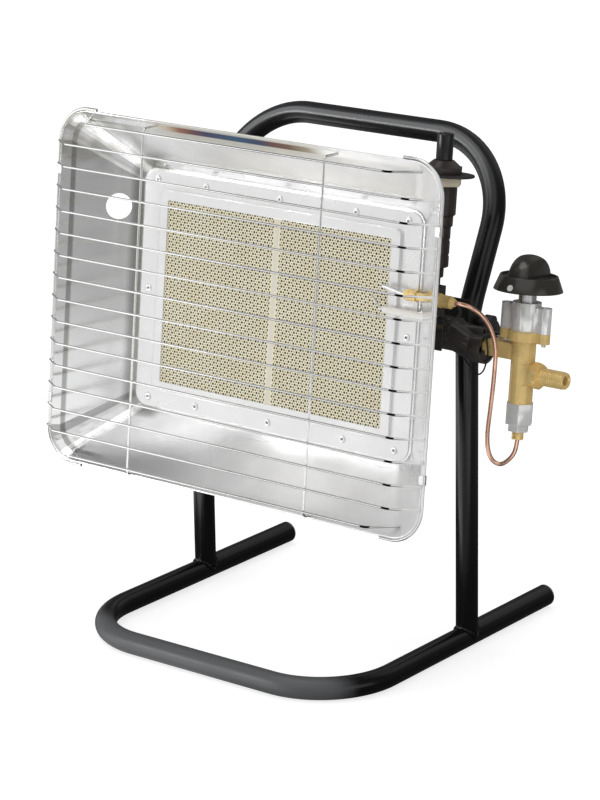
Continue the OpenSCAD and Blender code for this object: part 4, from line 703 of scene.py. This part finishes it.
def inlet_thread():
    """The gas inlet: a chamfered hexagon and a screw thread round the bore."""
    def hexagon(limit):
        def radius(angle):
            off_flat = (angle + math.pi / 6) % (math.pi / 3) - math.pi / 6
            return min(INLET_AF / 2 / math.cos(off_flat), limit)
        return radius

    def ridge(height, fade):
        def radius(angle):
            wave = 0.5 - 0.5 * math.cos(2 * math.pi * height / THREAD_PITCH - angle)
            return THREAD_R - THREAD_DEEP * (1 - (1 - wave) * fade)
        return radius

    corner = INLET_AF / 2 / math.cos(math.pi / 6)
    root = THREAD_R - THREAD_DEEP
    length = THREAD_END - INLET_X
    start = INLET_HEX + THREAD_NECK
    rows = [(0, INLET_BORE_R), (0, hexagon(corner - HEX_CORNER_BACK)),
            (HEX_CHAMFER, hexagon(corner)), (INLET_HEX - HEX_CHAMFER, hexagon(corner)),
            (INLET_HEX, hexagon(corner - HEX_CORNER_FRONT)), (INLET_HEX, root), (start, root)]
    steps = int((length - start - THREAD_TIP) / THREAD_PITCH * THREAD_STEPS)
    for k in range(steps + 1):
        height = start + k * THREAD_PITCH / THREAD_STEPS
        fade = min(1, k / THREAD_STEPS, (steps - k) / THREAD_STEPS)
        rows.append((height, ridge(height, fade)))
    rows += [(length - 0.9, root), (length, THREAD_R - 1.4),
             (length, INLET_BORE_R + 1.6), (length - 1.8, INLET_BORE_R)]
    build = bmesh.new()
    place = head_matrix(INLET_X, GAS_DEPTH, INLET_U, X_AXIS)
    turned(build, rows, THREAD_SIDES, place, closed=True)
    finish_piece("inlet_thread", build, "inlet_nipple")


# Valve bonnet: a round block, a post on each side and a web between them
BONNET_LOW = 17
BONNET_TOP = 44
BONNET_R = 13.5
POST_X = 21
POST_R = 5.75
POST_TOP = 41
WEB_HALF = 5.7
WEB_DROP = 0.5
SCREW_HEAD_DEEP = 8
SCREW_HEAD_R = 3.9
SCREW_BORE_R = 2.4
PLUNGER_ROOM_R = 10.5
BONNET_ROOF = 4
STEM_HOLE_R = 8.6


def valve_rod(low, high, radius, side=0):
    """An upright rod on the valve's axis, or on the post of that side."""
    return rod(VALVE_X + side * POST_X, GAS_DEPTH, low, high, radius)


def valve_block(x_ends, half_d, low, high):
    return block(x_ends, (GAS_DEPTH - half_d, GAS_DEPTH + half_d), (low, high))


def webbed_bonnet():
    over_posts = (VALVE_X - POST_X, VALVE_X + POST_X)
    steps = [("", valve_rod(BONNET_LOW, BONNET_TOP, BONNET_R))]
    for side in (-1, 1):
        steps.append(("UNION", valve_rod(BONNET_LOW, POST_TOP, POST_R, side)))
    steps.append(("UNION", valve_block(over_posts, WEB_HALF, BONNET_LOW, POST_TOP - WEB_DROP)))
    for side in (-1, 1):
        head_room = valve_rod(POST_TOP - SCREW_HEAD_DEEP, POST_TOP + PAST, SCREW_HEAD_R, side)
        bore = valve_rod(BONNET_LOW - PAST, POST_TOP - SCREW_HEAD_DEEP + PAST, SCREW_BORE_R, side)
        steps += [("DIFFERENCE", head_room), ("DIFFERENCE", bore)]
    roof = BONNET_TOP - BONNET_ROOF
    steps.append(("DIFFERENCE", valve_rod(BONNET_LOW - PAST, roof, PLUNGER_ROOM_R)))
    steps.append(("DIFFERENCE", valve_rod(roof - PAST, BONNET_TOP + PAST, STEM_HOLE_R)))
    carved("webbed_bonnet", "valve_bonnet", steps, 0.5)


# Valve body. Joined solids end a little apart, since faces in one plane upset the cutting.
BODY_R = 11.2
BODY_LOW = -51
DISC_LOW = 8
DISC_R = 15.6
EAR_LOW = 7.5
EAR_HALF = 5.55
EAR_BORE_R = 2.2
APART = 0.03
ARM_END = 218
ARM_U = -3.8
ARM_HALF_D = 7
ARM_HALF_U = 7.5
ARM_BORE_R = 2.5
BOSS_D = 10
BOSS_U = 9.8
MAGNET_ROOM_R = 8
MAGNET_ROOM_DEEP = 22
GAS_WAY_R = 4.1
GAS_WAY_FROM = 10


def cast_body():
    """The valve's body: a disc and ears on top, the outlet arm, a squared boss at the inlet."""
    over_ears = (VALVE_X - POST_X, VALVE_X + POST_X)
    steps = [("", valve_rod(BODY_LOW, DISC_LOW + 1, BODY_R)),
             ("UNION", valve_rod(DISC_LOW, BONNET_LOW, DISC_R)),
             ("UNION", valve_block(over_ears, EAR_HALF, EAR_LOW + APART, BONNET_LOW - APART)),
             ("UNION", valve_block((ARM_END, VALVE_X), ARM_HALF_D,
                                   ARM_U - ARM_HALF_U, ARM_U + ARM_HALF_U)),
             ("UNION", valve_block((VALVE_X, INLET_X), BOSS_D, INLET_U - BOSS_U, INLET_U + BOSS_U))]
    for side in (-1, 1):
        steps.append(("UNION", valve_rod(EAR_LOW, BONNET_LOW - 2 * APART, POST_R, side)))
    for side in (-1, 1):
        steps.append(("DIFFERENCE", valve_rod(EAR_LOW - PAST, BONNET_LOW + PAST, EAR_BORE_R, side)))
    steps += [
        ("DIFFERENCE", valve_rod(BODY_LOW - 1, BODY_LOW + MAGNET_ROOM_DEEP, MAGNET_ROOM_R)),
        ("DIFFERENCE", valve_rod(BODY_LOW + GAS_WAY_FROM, BONNET_LOW + PAST, GAS_WAY_R)),
        ("DIFFERENCE", cross_rod(VALVE_X, INLET_X + PAST, GAS_DEPTH, INLET_U, INLET_BORE_R)),
        ("DIFFERENCE", cross_rod(ARM_END - PAST, VALVE_X, GAS_DEPTH, ARM_U, ARM_BORE_R))]
    carved("cast_body", "valve_body", steps, 0.7)


# Gas knob: a skirt with a sunk top, and a grip cut from a ball
KNOB_U = 55
SKIRT_R = 32.5
SKIRT_TOP_R = 27
SKIRT_H = 14
SKIRT_RIM = 1.8
SUNK = 2.4
GRIP_R = 24
GRIP_HALF = 11
GRIP_MIDDLE_U = KNOB_U + 9
GRIP_FOOT = 3.4
GRIP_SIDES = 96
GRIP_STEPS = 20
GRIP_SOFT = 2.2
GRIP_SOFT_DEEP = 1.6
HOLLOW = ((-1, 11.5), (-1, 24.4), (9, 24.4), (9, 11.5))
STEM_SOCKET_R = 8.3


def ball_grip():
    """A ball between two flat sides, cut off below inside the sunk top."""
    rows = []
    for k in range(GRIP_STEPS + 1):
        x = GRIP_HALF * (2 * k / GRIP_STEPS - 1)
        soft = GRIP_SOFT_DEEP * max(0, (abs(x) - GRIP_HALF + GRIP_SOFT) / GRIP_SOFT) ** 2
        rows.append((x, math.sqrt(GRIP_R ** 2 - x * x) - soft))
    ball = bmesh.new()
    turned(ball, rows, GRIP_SIDES, sideways_at(VALVE_X, GAS_DEPTH, GRIP_MIDDLE_U))
    wide = 2 * SKIRT_R
    below = valve_block((VALVE_X - wide, VALVE_X + wide), wide,
                        KNOB_U - wide, KNOB_U + SKIRT_H - GRIP_FOOT)
    draft, cutter = draft_of("grip_draft", ball), draft_of("grip_cutter", below)
    add_boolean(draft, "DIFFERENCE", cutter)
    return shape_of(draft, cutter)


def ball_knob():
    top = KNOB_U + SKIRT_H
    hollow = bmesh.new()
    turned(hollow, HOLLOW, SIDES, upright_at(VALVE_X, GAS_DEPTH, KNOB_U), closed=True)
    carved("ball_knob", "gas_knob", [
        ("", rod(VALVE_X, GAS_DEPTH, KNOB_U, top, SKIRT_R, top_radius=SKIRT_TOP_R)),
        ("DIFFERENCE", valve_rod(top - SUNK, top + 5, SKIRT_TOP_R - SKIRT_RIM)),
        ("UNION", ball_grip()),
        ("DIFFERENCE", hollow),
        ("DIFFERENCE", valve_rod(KNOB_U - 1, top, STEM_SOCKET_R))], 0.6)


# Rivets of the burner plate: heights from the plate's face, and radii
PLATE_D = 60
RIVET_SIDES = 32
RIVET_BORE_R = 1.35
RIVET_ROWS = ((-4.2, RIVET_BORE_R), (-4.2, 3), (-3.6, 3.3), (-3, 3.45), (-3, 2.4), (0, 2.4),
              (0, 3.75), (0.3, 3.75), (0.8, 3.3), (1.15, 2.7), (1.3, 2.1), (1.2, 1.6),
              (0.7, RIVET_BORE_R), (0, RIVET_BORE_R - 0.05))


def domed_rivets():
    """Hollow rivets with domed heads, at the places of the plain ones."""
    build = bmesh.new()
    whole = bmesh.new()
    whole.from_mesh(NODES["burner_rivets"].data)
    bmesh.ops.remove_doubles(whole, verts=whole.verts, dist=SAME_POINT)
    for middle in island_middles(whole):
        x = middle.x / MM
        u = (middle - RIM).dot(UP) / MM
        turned(build, RIVET_ROWS, RIVET_SIDES, head_matrix(x, PLATE_D, u, -DEPTH), closed=True)
    whole.free()
    finish_piece("domed_rivets", build, "burner_rivets")


def island_middles(whole):
    """The middle of each loose part of a mesh, from its corners."""
    left = set(whole.verts)
    middles = []
    while left:
        stack = [left.pop()]
        island = []
        while stack:
            vert = stack.pop()
            island.append(vert.co)
            for edge in vert.link_edges:
                other = edge.other_vert(vert)
                if other in left:
                    left.remove(other)
                    stack.append(other)
        low = Vector(min(c[i] for c in island) for i in range(3))
        high = Vector(max(c[i] for c in island) for i in range(3))
        middles.append((low + high) / 2)
    return sorted(middles, key=lambda c: (round(c.x, 4), round(c.z, 4)))


# Frame welds
UPRIGHT_X = 166
TUBE_R = 11
BEAD_R = 1.7
BEAD_OUT = 0.3
BEAD_LIFT = 0.4
BEAD_STEPS = 104
BEAD_SIDES = 10
BEAD_LUMPS = 13
LUMP_HEIGHT = 0.2
RIPPLE_HEIGHT = 0.08
RIPPLE_TURN = 7.3


def weld_path(side):
    """The line where an upright meets its runner, in millimetres."""
    path = []
    reach = TUBE_R + BEAD_OUT
    for k in range(BEAD_STEPS):
        angle = 2 * math.pi * k / BEAD_STEPS
        x, y = reach * math.cos(angle), reach * math.sin(angle)
        z = TUBE_R + math.sqrt(max(0, TUBE_R ** 2 - min(TUBE_R, abs(x)) ** 2))
        path.append(Vector((side * UPRIGHT_X + x, y, z + BEAD_LIFT)))
    return path


def weld_beads():
    """A lumpy weld round the foot of each upright, where it sits on its runner."""
    build = bmesh.new()
    for side in (-1, 1):
        path = weld_path(side)
        rings = []
        for k in range(BEAD_STEPS):
            along = (path[(k + 1) % BEAD_STEPS] - path[k - 1]).normalized()
            out = Vector((path[k].x - side * UPRIGHT_X, path[k].y, 0)).normalized()
            lift = along.cross(out).normalized()
            out = lift.cross(along)
            wave = math.sin(BEAD_LUMPS * 2 * math.pi * k / BEAD_STEPS + side)
            lump = 1 + LUMP_HEIGHT * wave ** 2
            lump += RIPPLE_HEIGHT * math.sin(RIPPLE_TURN * k + side)
            ring = []
            for j in range(BEAD_SIDES):
                turn = 2 * math.pi * j / BEAD_SIDES
                edge = math.cos(turn) * out + math.sin(turn) * lift
                ring.append(MM * (path[k] + BEAD_R * lump * edge))
            rings.append(ring)
        add_rings(build, rings, closed=True)
    finish_piece("weld_beads", build, "base_frame", replace=False)


# Igniter barrel: heights on the head, and radii. It steps in towards the lead.
IGNITER_X = 180.6
IGNITER_D = 69
BARREL_SIDES = 72
RIBS = 12
RIB_DEEP = 0.4
BUTTON_BORE_R = 8.15
LEAD_BORE_R = 1.7


def ribbed_barrel():
    """The igniter's barrel, with moulded ribs along its wide parts."""
    def ribs(radius):
        def at(angle):
            return radius - RIB_DEEP * (0.5 - 0.5 * math.cos(RIBS * angle)) ** 3
        return at

    slim, wide = ribs(10.5), ribs(14)
    rows = [(57, LEAD_BORE_R), (50, LEAD_BORE_R), (50, 3.4), (50.6, 4), (59.6, 4), (60, 5.6),
            (60.8, 6.5), (69, 6.5), (69.4, 8.2), (70.4, slim), (80, slim), (80.6, 9.9), (82, 9.9),
            (82.6, slim), (94, slim), (94.6, 9.9), (96, 9.9), (96.6, slim), (107.2, slim),
            (108, 11.4), (108.8, 12), (117.6, 12), (118.5, 13.2), (119.4, wide), (145, wide),
            (146, 13.4), (146, 11), (163, 11), (163, BUTTON_BORE_R), (134, BUTTON_BORE_R),
            (134, LEAD_BORE_R)]
    build = bmesh.new()
    turned(build, rows, BARREL_SIDES, head_matrix(IGNITER_X, IGNITER_D, 0, UP), closed=True)
    finish_piece("ribbed_barrel", build, "igniter_barrel")


def make_pieces():
    for node, width in ROUNDED_EDGES.items():
        rounded(node, width)
    inlet_thread()
    cast_body()
    webbed_bonnet()
    ball_knob()
    domed_rivets()
    weld_beads()
    ribbed_barrel()


# ---- camera and studio ----

IMAGE_H = 800
FOCAL_PX = 3126.39
CAMERA_AT = Vector((1809.91, -2347.65, 1133.99)) * MM
AZIMUTH = math.radians(38.199)
ELEVATION = math.radians(17.075)
ROLL = math.radians(-0.923)
SENSOR = 36
CLIP_END = 50


def make_camera():
    """The camera that was fitted to the photo."""
    flat = math.cos(ELEVATION)
    back = Vector((math.sin(AZIMUTH) * flat, -math.cos(AZIMUTH) * flat, math.sin(ELEVATION)))
    right = Vector((math.cos(AZIMUTH), math.sin(AZIMUTH), 0))
    up = back.cross(right)
    side = math.cos(ROLL) * right + math.sin(ROLL) * up
    top = -math.sin(ROLL) * right + math.cos(ROLL) * up
    data = bpy.data.cameras.new("camera")
    data.sensor_width = SENSOR
    data.lens = FOCAL_PX / IMAGE_H * SENSOR
    data.clip_end = CLIP_END
    camera = bpy.data.objects.new("camera", data)
    turn = Matrix((side, top, back)).transposed().to_4x4()
    camera.matrix_world = Matrix.Translation(CAMERA_AT) @ turn
    bpy.context.scene.collection.objects.link(camera)
    bpy.context.scene.camera = camera


def make_lamp(name, place, target, size, power):
    data = bpy.data.lights.new(name, "AREA")
    data.shape = "RECTANGLE"
    data.size, data.size_y = size
    data.energy = power
    lamp = bpy.data.objects.new(name, data)
    lamp.location = place
    lamp.rotation_euler = (Vector(target) - Vector(place)).to_track_quat("-Z", "Y").to_euler()
    bpy.context.scene.collection.objects.link(lamp)
    return lamp


def spare(lamp, nodes):
    """Keeps a lamp's hard glint off these nodes, as a studio flag does."""
    flagged = bpy.data.collections.new(lamp.name + "_flagged")
    for node in nodes:
        flagged.objects.link(NODES[node])
    lamp.light_linking.receiver_collection = flagged
    for entry in flagged.collection_objects:
        entry.light_linking.link_state = "EXCLUDE"


# Soft panels that glossy surfaces mirror: direction, cosine at the outer and inner edge, strength
PANELS = {
    "low_front": ((-0.47, -0.87, 0), 0.945, 0.972, 0.7),
    "high_left": ((-0.8, -0.56, 0.2), 0.95, 0.972, 0.85),
    "left_glow": ((-0.92, -0.38, 0.05), 0.25, 0.95, 0.3),
    "front_right": ((0.72, -0.69, -0.02), 0.8, 0.97, 0.36),
    "right_card": ((0.98, -0.15, 0.1), 0.93, 0.97, 0.7),
    "overhead": ((0.15, -0.58, 0.8), 0.76, 0.93, 0.85),
    "rear": ((0.1, 0.72, 0.68), 0.8, 0.97, 0.3),
}
ROOM_BASE = 0.1
ROOM_FILL = 0.62
WHITE = (1, 1, 1, 1)


class Stage:
    """Node calls for the room's own materials."""

    def __init__(self, tree):
        self.tree = tree
        tree.nodes.clear()

    def node(self, kind, *feeds, **settings):
        made = self.tree.nodes.new("ShaderNode" + kind)
        for key, value in settings.items():
            setattr(made, key, value)
        for socket, value in zip(made.inputs, feeds):
            if hasattr(value, "node"):
                self.tree.links.new(value, socket)
            else:
                socket.default_value = value
        return made

    def math(self, operation, a, b=0.0):
        return self.node("Math", a, b, operation=operation).outputs[0]

    def add(self, a, b):
        return self.math("ADD", a, b)

    def times(self, first, *others):
        for other in others:
            first = self.math("MULTIPLY", first, other)
        return first

    def ease(self, value, low, high, strength=1.0):
        """Rises from nothing at low to this strength at high."""
        made = self.node("MapRange", value, low, high, 0.0, strength,
                         interpolation_type="SMOOTHSTEP")
        return made.outputs["Result"]

    def by_ray(self, seen, mirrored, lit):
        """One shader for the camera, one for metal and gloss, one for the light that falls."""
        path = self.node("LightPath").outputs
        glossy = self.math("MAXIMUM", path["Is Glossy Ray"], path["Is Transmission Ray"])
        unseen = self.node("MixShader", glossy, lit.outputs[0], mirrored.outputs[0])
        camera = path["Is Camera Ray"]
        return self.node("MixShader", camera, unseen.outputs[0], seen.outputs[0]).outputs[0]


def make_world():
    """White to the camera, soft panels in a dark room to metal and gloss, an even fill to light."""
    world = bpy.data.worlds.new("studio")
    bpy.context.scene.world = world
    world.use_nodes = True
    stage = Stage(world.node_tree)
    toward = stage.node("TexCoord").outputs["Generated"]
    level = ROOM_BASE
    for direction, outer, inner, strength in PANELS.values():
        middle = Vector(direction).normalized()
        dot = stage.node("VectorMath", toward, middle, operation="DOT_PRODUCT").outputs["Value"]
        level = stage.add(stage.ease(dot, outer, inner, strength), level)
    white = stage.node("Background", WHITE, 1.0)
    panels = stage.node("Background", WHITE, level)
    fill = stage.node("Background", WHITE, ROOM_FILL)
    stage.node("OutputWorld", stage.by_ray(white, panels, fill))


FLOOR_RADIUS = 9
FLOOR_SIDES = 64
FLOOR_GREY = (0.5, 0.5, 0.5, 1)
FLOOR_LIFT = 0.74
FLOOR_BOUNCE = (0.85, 0.85, 0.85, 1)


def mirrored_floor(stage):
    """How bright metal and gloss see the floor. The last number of a zone is its strength. The
    zones glow for reflections only, and the floor is darker close to the object as a painted
    shadow.
    """
    place = stage.node("SeparateXYZ", stage.node("NewGeometry").outputs["Position"])
    x, y = place.outputs["X"], place.outputs["Y"]
    ahead = stage.math("MAXIMUM", stage.times(y, -1.0), 0.05)
    slant = stage.math("DIVIDE", x, ahead)
    reach = stage.math("SQRT", stage.add(stage.times(x, x), stage.times(y, y)))
    front = stage.add(stage.ease(slant, 0.35, -0.1, 0.66), 0.36)
    card = stage.times(stage.ease(x, 0.45, 0.7), stage.ease(x, 2.2, 1.5, 0.6))
    front = stage.times(stage.ease(y, -0.17, -0.25), stage.add(front, card))
    left = stage.times(stage.ease(x, -0.32, -0.5, 0.8), stage.ease(y, 0.5, 0.1))
    far = stage.add(stage.ease(reach, 3.2, 1.6, 0.4), 0.6)
    zones = stage.times(stage.math("MAXIMUM", front, left), far)
    # A brighter glowing strip just in front of the stand, which the front bar mirrors
    strip = stage.times(stage.ease(y, -0.22, -0.245), stage.ease(y, -0.55, -0.3),
                        stage.ease(x, 0.13, 0.09, 1.2))
    # Painted shadow: the floor mirrors darker close to the object
    shadow_around = stage.add(stage.ease(reach, 0.35, 0.8, 0.13), 0.05)
    return stage.add(stage.add(zones, strip), shadow_around)


def make_floor():
    """A white floor with a soft shadow. Bright metal and gloss mirror its zones."""
    build = bmesh.new()
    bmesh.ops.create_circle(build, cap_ends=True, segments=FLOOR_SIDES, radius=FLOOR_RADIUS)
    floor = object_of("floor", build)
    material = bpy.data.materials.new("floor")
    material.use_nodes = True
    stage = Stage(material.node_tree)
    mirrored = stage.node("Emission", WHITE, mirrored_floor(stage))
    lit = stage.node("BsdfDiffuse", FLOOR_BOUNCE)
    pale = stage.node("BsdfDiffuse", FLOOR_GREY)
    lift = stage.node("Emission", WHITE, FLOOR_LIFT)
    seen = stage.node("AddShader", pale.outputs[0], lift.outputs[0])
    stage.node("OutputMaterial", stage.by_ray(seen, mirrored, lit))
    floor.data.materials.append(material)


# Lamps: place, aim, size in metres and power in watts
KEY_LAMP = ((-1.9, -2.5, 0.9), (0, 0, 0.27), (0.8, 0.9), 24)
TOP_LAMP = ((-0.6, -0.6, 2.8), (0, 0, 0.2), (1.6, 1.2), 12)
FLAGGED = ("grille_cross_wires", "grille_upright_wires", "grille_side_wires", "burner_plate")


def make_studio():
    make_world()
    make_floor()
    spare(make_lamp("key", *KEY_LAMP), FLAGGED)
    make_lamp("top", *TOP_LAMP)
    bpy.context.scene.view_settings.view_transform = "Standard"


# ---- build ----

dress_nodes()
make_pieces()
make_camera()
make_studio()
